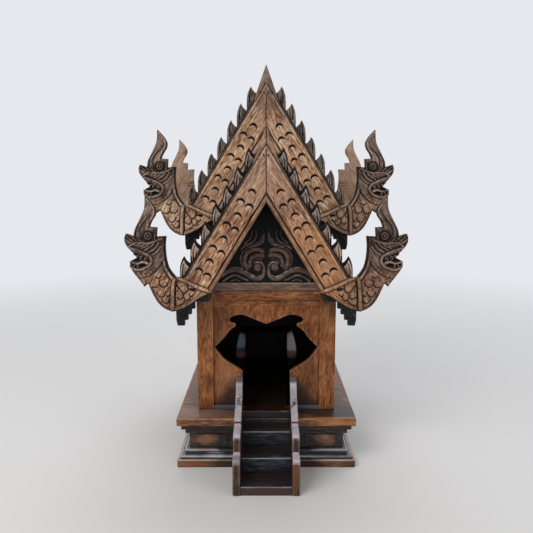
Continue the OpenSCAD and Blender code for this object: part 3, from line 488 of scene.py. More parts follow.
# Front beam. A level teak board pinned across the head of the front wall. A rounded cap glued on it
# carries the pediment, and dust has greyed it.
beam_teak = teak("beam teak", [(58, 28, 12), (114, 67, 36), (144, 90, 52), (174, 122, 80)], "x",
                 streak=1.1, edge=(164, 118, 80), **thin_wood)
cap_teak = teak("beam cap teak", [(52, 34, 26), (96, 72, 58), (122, 96, 80), (152, 128, 112)], "x",
                edge=(172, 150, 136), wear=0.7, gloss=0.36, sheen=0.4, crevice=0.006)
joinery("beam_front", "front_beam", beam_teak, "body_teak", 0.001)
joinery("beam_cap", "front_beam_cap", cap_teak, "worn_teak", 0.0022, 3)

# Side rails and rear beam. Teak strips pinned along the head of the side walls, under the eaves, and
# across the head of the rear wall, between the stiles. Their finish is the front beam's.
rail_teak = teak("rail teak", [(62, 32, 15), (112, 68, 40), (140, 90, 54), (170, 122, 82)], "y",
                 streak=1.1, edge=(164, 118, 80), **thin_wood)
joinery("rails_side", "side_rails", rail_teak, "body_teak", 0.001)
joinery("beam_rear", "rear_beam", beam_teak, "body_teak", 0.001)

# Bearers and eave blocks. Short bars of blackened teak run from the walls to the gable boards, whose
# feet they carry. Sawn blocks fill the corners behind the nagas, and thin strips close the eaves
# between the blocks.
eave_teak = teak("eave teak", [(2, 2, 2), (9, 8, 8), (22, 21, 20), (66, 62, 60)], "y", streak=1.3,
                 edge=(124, 120, 116), wear=0.9, gloss=0.40, sheen=0.2)
joinery("bearers", "gable_bearers", eave_teak, "black_teak", 0.0018)
joinery("blocks_at_eaves", "eave_blocks", eave_teak, "black_teak", 0.0008)
joinery("strips_at_eaves", "eave_strips", eave_teak, "black_teak", 0.0008)

# Roofs. Lapped courses of dark teak boards pinned to each slope, under a half-round ridge roll. The
# low roof covers the front bay, and the high one covers the rest of the hall.
roof_teak = teak("roof teak", [(11, 8, 7), (30, 22, 19), (50, 39, 33), (90, 73, 62)], "y",
                 edge=(106, 88, 74), gloss=0.5, sheen=0.2, crevice=0.014)
for name, node in (
        ("roof_low", "lower_roof"), ("roof_high", "upper_roof"),
        ("ridge_low", "lower_ridge"), ("ridge_high", "upper_ridge")):
    joinery(name, node, roof_teak, "black_teak", 0.0009)

# Hall gable. A plain dark teak board that closes the high roof above the low one. The front gable
# hides nearly all of it.
joinery("gable_wall", "hall_pediment", roof_teak, "dark_teak", 0.0008)

# Gable boards and nagas. Each board and the naga that rears up at its foot are one thick plank of
# teak, sawn to outline and then carved on the face with gouges: arched cuts for the scales, beads
# along the edges, and the head with its lips, mane, ear curl and plume. Soot and painted shade sit
# in the cuts, and the proud carving carries painted highlights.
class Relief:
    """The height of carving over a face, in millimetres, on a fine grid of points."""

    def __init__(self, low, high, pitch=0.5):
        self.low, self.pitch = np.array(low, float), pitch
        xs = np.arange(low[0], high[0] + pitch, pitch)
        zs = np.arange(low[1], high[1] + pitch, pitch)
        self.x, self.z = np.meshgrid(xs, zs, indexing="ij")
        self.raised = np.zeros_like(self.x)
        self.sunk = np.zeros_like(self.x)

    def curve(self, points, n=6):
        """A smooth run of points through the given ones."""
        points = [np.array(p, float) for p in points]
        if len(points) == 2:
            return points
        run = []
        for i in range(len(points) - 1):
            p0, p1, p2 = points[max(i - 1, 0)], points[i], points[i + 1]
            p3 = points[min(i + 2, len(points) - 1)]
            for t in np.arange(n) / n:
                run.append(0.5 * (2 * p1 + (p2 - p0) * t + (2 * p0 - 5 * p1 + 4 * p2 - p3) * t ** 2
                                  + (3 * p1 - p0 - 3 * p2 + p3) * t ** 3))
        return run + [points[-1]]

    def from_line(self, a, b, window=...):
        """How far the grid points lie from the line between two points, and how far along it."""
        x, z, d = self.x[window], self.z[window], b - a
        t = np.clip(((x - a[0]) * d[0] + (z - a[1]) * d[1]) / (d @ d + 1e-9), 0, 1)
        return np.hypot(x - a[0] - t * d[0], z - a[1] - t * d[1]), t

    def near(self, points, w0, w1, pad=0.0):
        """The window of grid points near a tapering stroke, how far they lie from its middle, in half
        widths, and how far from its side, in millimetres."""
        run = self.curve(points)
        reach = max(w0, w1) / 2 + pad
        i0, k0 = ((np.min(run, axis=0) - reach - self.low) / self.pitch).astype(int)
        i1, k1 = ((np.max(run, axis=0) + reach - self.low) / self.pitch).astype(int) + 2
        window = (slice(max(i0, 0), max(i1, 0)), slice(max(k0, 0), max(k1, 0)))
        ratio = np.full(self.x[window].shape, 99.0)
        gap = ratio.copy()
        last = len(run) - 1
        for i in range(last):
            away, t = self.from_line(run[i], run[i + 1], window)
            half = (w0 + (w1 - w0) * (i + t) / last) / 2
            ratio = np.minimum(ratio, away / half)
            gap = np.minimum(gap, away - half)
        return window, ratio, gap

    def bead(self, points, w0, w1, high, foot=1.2):
        """A rounded rib along a stroke, with a cut at its foot on both sides."""
        window, ratio, gap = self.near(points, w0, w1, 2.5)
        bump = high * np.clip(1 - ratio ** 2, 0, 1) ** 0.6
        self.raised[window] = np.maximum(self.raised[window], bump)
        self.sunk[window] = np.maximum(np.where(ratio < 1, 0, self.sunk[window]),
                                       np.where(gap > 0, foot * np.clip(1 - gap / 1.6, 0, 1), 0))

    def cut(self, points, w0, w1, deep):
        """A V-shaped gouge cut along a stroke."""
        window, ratio, _ = self.near(points, w0, w1, 0.5)
        self.sunk[window] = np.maximum(self.sunk[window], deep * np.clip(1 - ratio, 0, 1) ** 0.8)

    def knob(self, x, z, size, high, foot):
        """A round boss, which is a very short bead."""
        self.bead([(x - 0.05, z), (x + 0.05, z)], size, size, high, foot)

    def arc(self, x, z, size, start, end, n=7):
        """Points round part of a circle, between two angles in degrees."""
        turn = np.radians(np.linspace(start, end, n))
        return [(x + size / 2 * math.cos(a), z + size / 2 * math.sin(a)) for a in turn]

    def notch(self, x, z, size, thick, deep, lean):
        """Arched gouge cut: a steep wall over the scale below it, and a long slope above."""
        lx, lz = thick * math.sin(math.radians(lean)), -thick * math.cos(math.radians(lean))
        outer = size / 2 - np.hypot(self.x - x, self.z - z)
        inner = np.hypot(self.x - x - lx, self.z - z - lz) - size / 2
        inside = (outer > 0) & (inner > -0.6)
        slope = np.clip(outer / (np.maximum(inner, 0) + np.maximum(outer, 0) + 1e-6), 0, 1)
        rise = np.clip((inner + 0.6) / 0.6, 0, 1)
        self.sunk = np.where(inside, np.maximum(self.sunk, deep * slope ** 0.8 * rise), self.sunk)

    def pocket(self, outline, deep, soft):
        """A sunk ground inside a closed outline, with sloping sides."""
        closed = outline + outline[:1]
        run = self.curve(closed, 4)
        inside = np.zeros(self.x.shape, bool)
        for a, b in zip(run, run[1:]):
            if a[1] != b[1]:
                crossing = (a[1] > self.z) != (b[1] > self.z)
                inside ^= crossing & (self.x < (b[0] - a[0]) * (self.z - a[1]) / (b[1] - a[1]) + a[0])
        window, _, gap = self.near(closed, 0.2, 0.2, soft + 1)
        depth = np.where(inside, deep, 0.0)
        depth[window] = np.where(inside[window], deep * np.clip(gap / soft, 0, 1), 0)
        self.sunk = np.maximum(self.sunk, depth)
        return inside

    def round_edges(self, outline, size):
        """Rounds the face off towards its sawn outline."""
        away = np.full(self.x.shape, 99.0)
        for a, b in zip(outline, outline[1:] + outline[:1]):
            away = np.minimum(away, self.from_line(a, b)[0])
        self.edge = np.clip(1 - away / size, 0, 1)
        self.rim = size * (1 - np.sqrt(1 - self.edge ** 2))

    def settle(self):
        """Sums the height; finds hollows for soot and painted shade, proud parts for painted highlights.
        """
        self.height = self.raised - self.sunk - self.rim
        wide = self.height
        for rounds, stride in ((6, 1), (40, 2)):
            for _ in range(rounds):
                for axis in (0, 1):
                    wide = (np.roll(wide, stride, axis) + wide + np.roll(wide, -stride, axis)) / 3
        self.hollow_soot_and_shade = np.clip((wide - self.height) / 1.1, 0, 1)
        self.proud_highlight = np.clip((self.height - wide) / 1.2, 0, 1)
        self.blacken(np.clip((self.sunk - 0.5) / 1.2, 0, 1))

    def blacken(self, amount, window=...):
        self.hollow_soot_and_shade[window] = np.maximum(self.hollow_soot_and_shade[window], amount)

    def at(self, field, x, z):
        """A field's values at any places, read between the grid points."""
        i = np.clip((x - self.low[0]) / self.pitch, 0, field.shape[0] - 1.001)
        k = np.clip((z - self.low[1]) / self.pitch, 0, field.shape[1] - 1.001)
        i0, k0 = i.astype(int), k.astype(int)
        u, v = i - i0, k - k0
        return (field[i0, k0] * (1 - u) * (1 - v) + field[i0 + 1, k0] * u * (1 - v)
                + field[i0, k0 + 1] * (1 - u) * v + field[i0 + 1, k0 + 1] * u * v)


def face_of(node, y, right_only=True):
    """One flat side of a CAD node as a single sheet."""
    work = sawn(node)
    away = [f for f in work.faces if abs(f.calc_center_median().y - y) > 1e-5 or abs(f.normal.y) < 0.9
            or (right_only and f.calc_center_median().x < 0)]
    bmesh.ops.delete(work, geom=away, context="FACES")
    loose = [v for v in work.verts if not v.link_faces]
    bmesh.ops.delete(work, geom=loose, context="VERTS")
    return work


def rim_of(work, level):
    """The outline of a sheet, in order, as points in millimetres from the given level."""
    edge = next(e for e in work.edges if e.is_boundary)
    start, here = edge.verts
    run = [here]
    while here is not start:
        edge = next(e for e in here.link_edges if e.is_boundary and e is not edge)
        here = edge.other_vert(here)
        run.append(here)
    return [np.array((v.co.x * 1000, (v.co.z - level) * 1000)) for v in run]


def cut_fine(work, size):
    """Cuts a flat sheet into squares with saw lines across it both ways."""
    for axis, normal in ((0, (1, 0, 0)), (2, (0, 0, 1))):
        ends = [v.co[axis] for v in work.verts]
        for place in np.arange(min(ends) + size * 0.6, max(ends), size):
            point = [0.0, 0.0, 0.0]
            point[axis] = place
            bmesh.ops.bisect_plane(work, geom=work.verts[:] + work.edges[:] + work.faces[:], dist=1e-7,
                                   plane_co=point, plane_no=normal)
    bmesh.ops.remove_doubles(work, verts=work.verts, dist=size * 0.22)


def carve(work, relief, level, front, back, both=False):
    """Lifts a cut sheet to the carving's height at the front, and closes it to the back."""
    facing = -1 if front < back else 1
    layers = [work.verts.layers.float.new(name) for name in ("cut", "rubbed", "weather")]
    x = np.array([v.co.x * 1000 for v in work.verts])
    z = np.array([(v.co.z - level) * 1000 for v in work.verts])
    if both:
        x = abs(x)
    fields = relief.height, relief.hollow_soot_and_shade, relief.proud_highlight, relief.weather
    for vert, height, *values in zip(work.verts, *(relief.at(field, x, z) for field in fields)):
        vert.co.y = front + facing * height / 1000
        for layer, value in zip(layers, values):
            vert[layer] = value
    rim = [e for e in work.edges if e.is_boundary]
    made = bmesh.ops.extrude_edge_only(work, edges=rim)["geom"]
    plain_back = (0.0, 0.0, 0.6)
    for vert in (g for g in made if isinstance(g, bmesh.types.BMVert)):
        vert.co.y = back
        for layer, value in zip(layers, plain_back):
            vert[layer] = value
    rim = [g for g in made if isinstance(g, bmesh.types.BMEdge) and g.is_boundary]
    bmesh.ops.triangle_fill(work, use_beauty=True, edges=rim)
    bmesh.ops.recalc_face_normals(work, faces=work.faces)
    for face in work.faces:
        face.smooth = True


def placed(work, shift, flip_x, flip_y):
    """A copy of a worked piece, mirrored and moved to another place on the house."""
    copy = work.copy()
    if flip_x:
        bmesh.ops.scale(copy, vec=(-1, 1, 1), verts=copy.verts)
    if flip_y:
        bmesh.ops.scale(copy, vec=(1, -1, 1), verts=copy.verts)
    bmesh.ops.translate(copy, vec=shift, verts=copy.verts)
    if flip_x != flip_y:
        bmesh.ops.reverse_faces(copy, faces=copy.faces)
    return copy


def finish_carving(work, name, material, slot, node):
    """A carved piece, shaded smooth but for its sharp arrises."""
    piece = finish_mesh(work, name, material, slot, node)
    piece.data.set_sharp_from_angle(angle=math.radians(38))


wall_top, tier_rise, tier_back = 0.373, 0.134, 0.147
board_front, board_back = -0.240, -0.224
foot_x, foot_z = 105.4, -9.3
lean = math.radians(58.4)
lean_cos, lean_sin = math.cos(lean), math.sin(lean)


def on_board(up, inward):
    """A point on the board, by its distance up the slope from the foot and in from the inner edge."""
    return foot_x - up * lean_cos + inward * lean_sin, foot_z + up * lean_sin + inward * lean_cos


board = face_of("front_naga_right", board_back)
outline = rim_of(board, wall_top)
relief = Relief((-3, -56), (276, 312))

# Arched cuts for the scales, two and one by turns up the board, each with a nick beside it, then
# the beads along both edges
scale_pitch = 52
for low in range(22, 22 + 4 * scale_pitch, scale_pitch):
    for up, inward, size, nick in (
            (low, 42, 17, 32.5), (low, 23.4, 16.5, 14.5), (low + scale_pitch / 2, 33.6, 16.5, 24.5)):
        relief.notch(*on_board(up, inward), size, 5.6, 3.8, 18)
        relief.cut([on_board(up - 1, nick), on_board(up - 12, nick + 3.5)], 1.8, 0.5, 1)
relief.notch(9, 250, 12, 4, 3, 8)
relief.cut([on_board(300, 9.8), on_board(3, 9.8)], 3, 3, 2.6)
relief.bead([on_board(350, 54.4), on_board(-2, 54.4)], 4.4, 4.4, 1.1, 0.3)
relief.cut([on_board(350, 57.6), on_board(-2, 57.6)], 2.4, 2.4, 2)
inner_bead = [on_board(300, 4.6), on_board(-2, 4.6)]
relief.bead(inner_bead, 7.4, 7.4, 2.3, 0)
relief.cut([on_board(300, 5.6), on_board(-2, 5.6)], 1, 1, 0.8)
# Scales up the neck and on the wedge under the collar: a low swelling over each curved cut
for edge_cut, x, z, size in (
        ([(189.5, 8), (193, 2.5), (199, 0), (204.5, 2.5), (207, 9)], 198, 7, 15),
        ([(208.5, 4.5), (211.5, 0), (216, -1), (220, 1.5)], 215, 6, 13),
        ([(203, 21), (208, 17.5), (214, 20)], 208, 23, 10),
        ([(207, 9), (205.5, 13), (203, 15)], 212, 14, 9),
        ([(194, -9), (197.5, -16.5), (203.5, -19.5), (209, -16), (212, -9)], 203, -11, 15),
        ([(188, -27), (193, -33), (198, -30), (203, -23)], 194, -25, 14),
        ([(186, -14), (189, -18), (193, -17)], 188.5, -12, 9),
        ([(151, 3), (152, -7), (158, -12), (164.5, -8), (169, 0)], 159.5, -3, 15),
        ([(160.5, -14), (161.5, -20.5), (167, -24), (173, -20)], 167, -16, 12),
        ([(140.5, -14), (145, -18.5), (149.5, -14)], 145, -13, 9),
        ([(147.5, -19), (149.5, -24.5), (156, -26.5), (159, -21)], 153, -19.5, 11),
        ([(159, -27), (161, -32), (168, -35), (174, -37)], 167.5, -29.5, 11),
        ([(172, 4), (170, -3), (172, -9)], 170, -4, 8)):
    relief.cut(edge_cut, 3.4, 2.4, 2.4)
    window, ratio, _ = relief.near([(x, z - 0.1), (x, z + 0.1)], size, size, 0.5)
    relief.raised[window] = np.maximum(relief.raised[window], 0.9 * np.clip(1 - ratio ** 2, 0, 1))
relief.cut([(139.5, -5.5), (147.5, -4)], 8, 6, 2.6)
relief.cut([(173, 12), (175, -5), (176.5, -24), (176, -38)], 3.2, 2.4, 2.2)
relief.cut([(133, -16), (149, -28), (165, -36.5), (178, -41)], 2, 2, 1.2)
relief.cut([(189, -41), (199, -36.5), (207, -28), (214.5, -15), (220, -1)], 2.4, 2.4, 1.9)
relief.cut([(202, 50), (199, 38), (192, 24), (186, 14)], 2.4, 2.4, 2)
relief.cut([(199, 50), (207, 37), (221, 25), (231, 20), (246, 17)], 3.2, 2.4, 2.6)
for a, b in (((210, 34), (217, 39)), ((215, 29), (222, 34)), ((222, 24.5), (228, 30)),
             ((229, 21.5), (234, 28)), ((237, 19.5), (241, 27)), ((245, 18), (249, 27))):
    relief.cut([a, b], 2.4, 1.4, 1.6)
mouth = relief.pocket([(270, 72), (258, 70), (246, 66), (235, 61), (227, 57), (225, 49), (231, 42),
                       (243, 38), (255, 39), (268, 47), (272, 58)], 4.6, 2.4)
relief.raised[mouth] = 0
# Head: lips, tongue, teeth, mane, ear curl, brow, plume and beard
relief.bead([(271, 80), (258, 75), (246, 71), (234, 66), (223.5, 60), (220.5, 51), (226, 41.5),
             (236, 36), (248, 34), (262, 40)], 5.5, 5.5, 3.2, 2)
relief.bead([(229, 47), (238, 49.5), (248, 46), (262, 50)], 6, 3, 2.6, 0)
relief.bead(relief.arc(231, 55, 5, -60, 230), 2.4, 2, 3, 0)
relief.bead(relief.arc(240, 57.5, 5, -80, 200), 2.4, 2, 3, 0)
for x, z in ((247, 61), (253.5, 63.5), (260, 66), (266, 68.5), (247, 41), (254, 42.5), (260.5, 45)):
    relief.knob(x, z, 3.6, 3.4, 0)
for points in ([(202, 79), (209, 69), (219, 63)], [(206, 87), (213, 76), (225, 68)],
               [(212, 89), (220, 80), (233, 72)], [(220, 88), (227, 81), (239, 76)],
               [(229, 87), (236, 81), (246, 79)], [(237, 88), (244, 82), (253, 82)],
               [(245, 92), (252, 86), (260, 85)], [(252, 96), (258, 91), (266, 89)]):
    relief.bead(points, 3.4, 3.4, 1.6, 2.4)
relief.cut(relief.arc(226, 99, 20, -30, 330, 12), 3, 3, 2.2)
relief.bead(relief.arc(226, 99, 11.5, 150, -190, 12), 3.2, 2.4, 1.6, 1.4)
relief.knob(226, 99, 5.5, 2.4, 1.4)
for points in ([(248, 90), (255, 97), (262, 102)], [(254, 88), (263, 95), (270, 104)],
               [(260, 86), (267, 91), (273, 98)], [(206, 92), (206, 100), (203, 108)],
               [(213, 92), (212, 103), (209, 112)], [(241, 90), (245, 95), (250, 100)]):
    relief.bead(points, 4.2, 1.6, 1.8, 1.8)
relief.bead([(196, 98), (206, 91.5), (217, 87.5), (229, 85), (241, 86), (252, 85.5), (264, 78)],
            5, 3.6, 2.8, 1.8)
for points, w0, w1, deep in (
        ([(237, 92), (241, 108), (235, 123), (223, 136), (217, 150)], 3.4, 1.4, 2.4),
        ([(243, 94), (245, 108), (240, 121), (231, 133), (225, 145)], 2.2, 1, 1.4),
        ([(249, 97), (249, 108), (244, 119), (235, 131)], 3.2, 1.2, 2.2)):
    relief.cut(points, w0, w1, deep)
relief.bead([(228, 112), (225, 124), (216, 136), (213, 148), (219, 160), (227, 170)], 5, 2.5, 1.4, 0.5)
relief.bead([(245, 98), (246, 110), (239, 123), (229, 136), (223, 150), (226, 164)], 2.6, 1.6, 1.6, 0.6)
relief.bead([(252, 100), (251, 110), (245, 122), (237, 135), (231, 148)], 2.6, 1.6, 1.4, 0.6)
relief.knob(236.5, 8, 7, 1.8, 1.6)
relief.cut(relief.arc(236.5, 8, 4, 0, 270), 1.2, 0.8, 0.9)
relief.cut([(229, 15), (236, 16), (243, 14)], 2, 1.4, 1.6)
# Strip up the back of the neck, the collar and the band down from the nape
relief.bead([(181, 17), (190, 33), (196, 50)], 7, 6, 1.8, 1.6)
collar = [(99, -13), (133, 0.5), (154, 10.5), (175, 21)]
band = [(178, 15), (180.5, 2), (182, -20), (183, -52)]
relief.bead(collar, 7.5, 6, 2.5, 2.2)
relief.bead(band, 6, 7.5, 2.5, 2.2)
# Painted shade lies in a wide margin behind the nape and under the belly; the edge itself is rounded
# less
relief.round_edges(outline, 3.6)
behind = (relief.x > 176) & (relief.x < 204) & (relief.z > 20) & (relief.z < 100)
nape_shade = np.clip(relief.edge * 1.8, 0, 1) * behind
belly_shade = np.clip(relief.edge * 1.4, 0, 0.8) * (relief.z < 12) * (relief.x > 118)
relief.round_edges(outline, 2)
relief.settle()
# What stands proudest is lowered by half of what is over, so that it stays within the plank
proudest = 1.6
relief.height = np.where(relief.height > proudest, (proudest + relief.height) / 2, relief.height)
# Painted shade behind the nape and under the belly
relief.blacken(np.maximum(nape_shade, belly_shade))
# The necks have weathered most, and the boards a little towards their tops
on_neck = np.clip((relief.x - 125) / 25, 0, 1)
relief.weather = (on_neck * (0.22 + 0.7 * np.clip((relief.z - 12) / 30, 0, 1))
                  + np.clip((relief.z - 120) / 200, 0, 0.5) * (relief.x < 120))
# The head is darkened round the ear curl, in the mane and in the mouth, and the collar, the lips and
# the bead along the board's inner edge are darkened a little, with their painted highlights toned down
for points, width, amount, over in (
        ([(210, 101), (230, 97)], 24, 0.8, 0.5), ([(246, 93), (270, 99)], 15, 0.85, 0.5),
        ([(202, 85), (226, 75), (256, 80)], 13, 0.6, 1.7), ([(232, 50), (264, 56)], 20, 0.5, 1.7),
        ([(196, 30), (212, 38), (228, 28)], 10, 0.4, 1.7), (collar, 8, 0.15, 0.5), (band, 8, 0.15, 0.5),
        ([(271, 80), (246, 71), (223.5, 60), (220.5, 51), (236, 36), (262, 40)], 7, 0.2, 0.55),
        (inner_bead, 9, 0.34, 0.2)):
    window, ratio, _ = relief.near(points, width, width)
    shade = amount * np.clip(1.6 - 1.2 * ratio, 0, 1) * np.clip(1 - over * relief.proud_highlight[window], 0, 1)
    relief.proud_highlight[window] *= np.where(ratio < 1.1, min(over, 1), 1)
    relief.blacken(shade, window)

board_grid = 0.00115
cut_fine(board, board_grid)
carve(board, relief, wall_top, board_front, board_back)
neck_marks = [
    ((187, -240, 350), (55, 30, 45), 0.34, (50, 30, 22)),
    ((232, -240, 440), (50, 30, 60), 0.22, (62, 36, 24)),
    ((110, -240, 420), (70, 30, 80), 0.36, (206, 146, 98)),
    ((18, 240, 600), (35, 30, 70), 0.3, (206, 166, 138)),
    ((-160, -240, 335), (50, 30, 30), 0.2, (60, 38, 28))]
carved_wood = dict(sheen=0.2, crevice=0.006, carved=True)
board_grain = dict(along="x", turn=-lean, streak=1.15, long=0.14)
board_teak = teak("gable board teak", [(46, 22, 11), (126, 84, 57), (174, 129, 95), (236, 198, 164)],
                  gloss=0.48, edge=(222, 188, 160), soot_shade_tone=(6, 3, 2), marks=neck_marks,
                  aged=[(30, 20, 16), (88, 68, 58), (130, 106, 94), (184, 164, 154)],
                  **board_grain, **carved_wood)
# Painted light: the hall boards' tones are lighter than the front boards', and lighter again on the left
hall_marks_and_light = [
    ((-78, -93, 460), (60, 20, 130), 0.26, (236, 194, 158)),
    ((187, -93, 484), (55, 30, 45), 0.34, (50, 32, 24)),
    ((225, -93, 580), (60, 30, 80), 0.2, (60, 38, 28)),
    ((0, 93, 775), (30, 20, 60), 0.45, (100, 78, 66))]
hall_board_lit_teak = teak("lit hall board teak", [(72, 40, 22), (170, 124, 88), (214, 170, 132), (252, 226, 198)],
                 gloss=0.48, edge=(238, 208, 182), soot_shade_tone=(6, 3, 2), marks=hall_marks_and_light,
                 aged=[(32, 22, 18), (96, 75, 64), (138, 114, 101), (192, 172, 160)],
                 **board_grain, **carved_wood)
rear_teak = teak("rear naga teak", [(118, 88, 68), (170, 136, 112), (190, 158, 134), (216, 190, 168)],
                 "x", turn=-lean, streak=0.35, gloss=0.5, edge=(206, 178, 156), soot_shade_tone=(8, 5, 4),
                 aged=[(108, 80, 62), (162, 130, 108), (184, 154, 132), (212, 188, 168)], **carved_wood)
at_front, to_hall, to_rear = (0, 0, 0), (0, tier_back, tier_rise), (0, 0, tier_rise)
for gable, wood, shift, rear in (
        ("front", board_teak, at_front, False), ("hall", hall_board_lit_teak, to_hall, False),
        ("rear", rear_teak, to_rear, True)):
    for side, left in (("right", False), ("left", True)):
        finish_carving(placed(board, shift, left, rear), f"naga_{gable}_{side}", wood, "honey_teak",
                       f"{gable}_naga_{side}")
board.free()

# Flame leaves. A saw-toothed teak strip of upright leaves is glued behind the outer edge of each
# gable board, between the board and the roof. Each leaf is gouged with flutes between arrises with
# painted highlights, a painted shadow darkens the leaves along their roots, and on the front strip
# the ground round the blades is cut back and painted black as shadow.
leaf_teak = teak("flame leaf teak", [(66, 44, 32), (146, 116, 96), (184, 154, 132), (226, 202, 184)],
                 "z", gloss=0.48, edge=(226, 206, 190), soot_shade_tone=(6, 3, 3),
                 aged=[(44, 34, 30), (110, 94, 86), (150, 132, 122), (202, 186, 176)], **carved_wood)
grey_leaf = teak("old leaf teak", [(30, 23, 21), (84, 70, 64), (122, 106, 98), (176, 162, 154)], "z",
                 gloss=0.5, edge=(176, 162, 154), soot_shade_tone=(10, 7, 6), **carved_wood)


def moved(points, x, z):
    """Points of one leaf, drawn from its root, at its place in the strip."""
    return [(x + px, z + pz) for px, pz in points]


board_line, slope = 276.5, math.tan(lean)
leaf_front, leaf_back = -0.224, -0.216
leaves_a_side, first_leaf, last_leaf = 7, 30, 158
fine_grid = 0.0012
for name, node, shift, rear, wood, low in (
        ("leaves_front", "front_flame_leaves", at_front, False, leaf_teak, 9),
        ("leaves_hall", "hall_flame_leaves", to_hall, False, grey_leaf, 0),
        ("leaves_rear", "rear_flame_leaves", to_rear, True, grey_leaf, 0)):
    leaves = face_of("front_flame_leaves", leaf_back)
    outline = rim_of(leaves, wall_top)
    relief = Relief((12, -60), (178, 290))
    shadowed_ground = np.zeros(relief.x.shape, bool)
    for x in np.linspace(first_leaf, last_leaf, leaves_a_side):
        z = board_line - slope * x - low
        if low:
            shadowed_ground |= relief.pocket(moved((
                (-12.6, 22.5), (-8, 25), (-3.6, 28.8), (0.4, 34), (2.6, 39), (4.8, 35), (7.2, 28),
                (9.4, 17), (10, 4), (13.5, 2), (13.5, 36), (4, 54), (-13, 48)), x, z), 2.2, 1)
        for points, w0, w1, high in (
                ([(2.6, 37), (5.6, 29), (8, 17), (8.6, 4)], 2, 2.4, 0.9),
                ([(2, 36), (-1.6, 29.6), (-6, 25), (-11, 22)], 1.8, 2, 0.8)):
            relief.bead(moved(points, x, z), w0, w1, high, 0)
        for points, w0, w1, deep in (
                ([(2.4, 33), (5, 20), (5, 5)], 1.4, 3.4, 2.6),
                ([(-2.4, 26), (0, 16), (0.4, 4)], 1.2, 2.4, 1.5),
                ([(-7.2, 21.5), (-5.4, 15), (-4, 7)], 1.2, 2.6, 1.8)):
            relief.cut(moved(points, x, z), w0, w1, deep)
    relief.round_edges(outline, 1.6)
    relief.settle()
    # Painted shadow: the cut-back ground round the front blades is black, fading towards the outer end
    relief.blacken(shadowed_ground * np.clip((146 - relief.x) / 12, 0, 1))
    # A painted shadow along the roots of the leaves, where they meet the board
    root = (relief.z - board_line + slope * relief.x) * lean_cos
    relief.blacken(np.clip(3.9 - root, 0, 1))
    relief.weather = np.clip((relief.z - 40) / 160, 0, 1)
    cut_fine(leaves, fine_grid)
    carve(leaves, relief, wall_top, leaf_front, leaf_back)
    pair = placed(leaves, shift, False, rear)
    other = placed(leaves, shift, True, rear)
    mesh = bpy.data.meshes.new(name)
    other.to_mesh(mesh)
    pair.from_mesh(mesh)
    finish_carving(pair, name, wood, "worn_teak", node)
    other.free()
    leaves.free()
    bpy.data.meshes.remove(mesh)

# Pediments. A teak board closes each end of the roof, front and rear. It is carved with a pair of
# scrolls whose great leaves curl in to the centre under a flame, with a tail running out to each
# corner. It is nearly black, with painted highlights only on the ribs of the hook and the tails.
panel_back, panel_face = 0.182, 0.187
panel = face_of("front_pediment", -panel_back, right_only=False)
rear_panel = face_of("rear_pediment", panel_back, right_only=False)
outline = rim_of(rear_panel, wall_top + tier_rise)
relief = Relief((-2, -10), (142, 226))
# The great leaf's ribs, the flames over it, the tails, then the hook that ends in a round knob
for w0, w1, high, points in (
        (4.2, 4.4, 2, [(38, 69.5), (46.4, 63.5), (51, 54), (51.4, 44), (47.4, 34), (40, 27.4)]),
        (9.5, 11, 3.2, [(8.4, 64.4), (17, 67.4), (28, 66.4), (37.4, 61.6), (42.6, 53.6), (43.6, 44.4),
                        (41.6, 36.6), (38, 31)]),
        (11.5, 9, 2.8, [(8.6, 54.6), (15, 56.4), (23, 55), (30, 50), (33, 42), (32.4, 35)]),
        (4.6, 4, 1.6, [(11, 47.4), (17, 48.2), (23, 45.6), (26, 40)]),
        (5, 12.5, 2.8, [(36, 72), (25, 75.2), (15.4, 79.4), (10, 85.2)]),
        (12.5, 1.6, 2.8, [(10, 85.2), (6.8, 92), (5.2, 99), (6, 106.6)]),
        (6.2, 6.4, 2.2, [(50, 69), (43.4, 74.6), (33, 79.4)]),
        (6.4, 1.6, 2, [(33, 79.4), (24.6, 85.6), (20.4, 95), (20.4, 107)]),
        (4.4, 1.4, 1.4, [(44, 80), (35, 86.5), (29.6, 95), (28.6, 106)]),
        (9.4, 10.4, 3, [(13.4, 7.6), (22.6, 8.2), (32, 12.6), (42, 19)]),
        (10.4, 9, 2.8, [(42, 19), (50.7, 23.2), (61, 25.8), (72, 24.6), (83, 19.4), (94, 11.6),
                        (104, 4)]),
        (4.4, 5.6, 2.2, [(38, 4.6), (50.7, 10), (61, 14.8), (71, 13.4), (80, 8.6), (88, 2.4)]),
        (4, 2.6, 1.8, [(54, 3), (63, 6), (73, 1.8)]),
        (9, 7, 3.2, [(14, 7.8), (7.4, 13.4), (4.8, 24), (5.4, 33.4)]),
        (7, 5, 3.4, [(5.4, 33.4), (10, 39.6), (17, 41.2), (23, 38.2)]),
        (17, 17, 4, [(16.8, 31.6), (17.2, 31.6)])):
    relief.bead(points, w0, w1, high, 1.5)
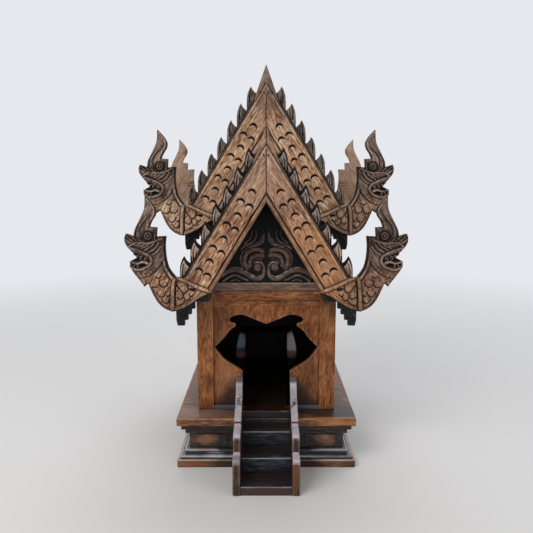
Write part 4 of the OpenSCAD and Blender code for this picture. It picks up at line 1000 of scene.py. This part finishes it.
for w0, w1, deep, points in (
        (1.3, 1.3, 1.2, [(10, 66.8), (20, 69), (31, 67), (40, 60), (44.6, 50), (44, 39)]),
        (1.2, 1.2, 1.1, [(9, 56.4), (18, 57.6), (27, 54.4), (33, 46), (33.4, 37)]),
        (1.4, 1.2, 1.2, [(26, 77), (16, 81.5), (11.5, 88), (9.6, 96)]),
        (1.6, 1.4, 1.4, [(22, 5.2), (32, 9.6), (42, 15.8), (52, 20), (62, 22.6), (73, 21), (85, 14)]),
        (2.2, 1.4, 2.6, [(9.6, 19), (8.6, 26), (9.8, 33)])):
    relief.cut(points, w0, w1, deep)
relief.round_edges(outline, 0.8)
relief.settle()
relief.weather = np.clip((relief.z - 70) / 8, 0, 0.9) + 0.45 * (relief.x > 30) * (relief.z < 34)
relief.blacken(np.clip(1.05 - relief.raised / 0.9, 0, 0.97))
# Painted highlights: cut back over the carving, then laid on the hook's top and the tails' upper edges
relief.proud_highlight *= 0.12
for width, points in (
        (2.2, [(7.6, 39.4), (12, 42.4), (18, 42.6), (23, 40)]),
        (2.4, [(12.5, 13.8), (18, 12.4), (25, 13.8), (33, 18.6), (42, 24.4)]),
        (1.8, [(46, 27.6), (58, 31), (70, 30), (80, 26)])):
    window, ratio, _ = relief.near(points, width, width)
    relief.proud_highlight[window] = np.maximum(relief.proud_highlight[window], np.clip(1.2 - ratio, 0, 1))
    relief.hollow_soot_and_shade[window] *= np.clip(ratio - 0.2, 0, 1)
cut_fine(panel, fine_grid)
carve(panel, relief, wall_top, -panel_face, -panel_back, both=True)
cut_fine(rear_panel, fine_grid)
carve(rear_panel, relief, wall_top + tier_rise, panel_face, panel_back, both=True)
scroll_teak = teak("pediment teak", [(30, 17, 11), (78, 54, 41), (104, 77, 61), (142, 114, 98)], "x",
                   gloss=0.46, edge=(236, 228, 226), soot_shade_tone=(3, 1, 1),
                   aged=[(28, 20, 18), (76, 64, 60), (100, 88, 84), (136, 124, 120)], **carved_wood)
finish_carving(panel, "pediment_scrolls", scroll_teak, "black_teak", "front_pediment")
finish_carving(rear_panel, "pediment_rear", scroll_teak, "black_teak", "rear_pediment")
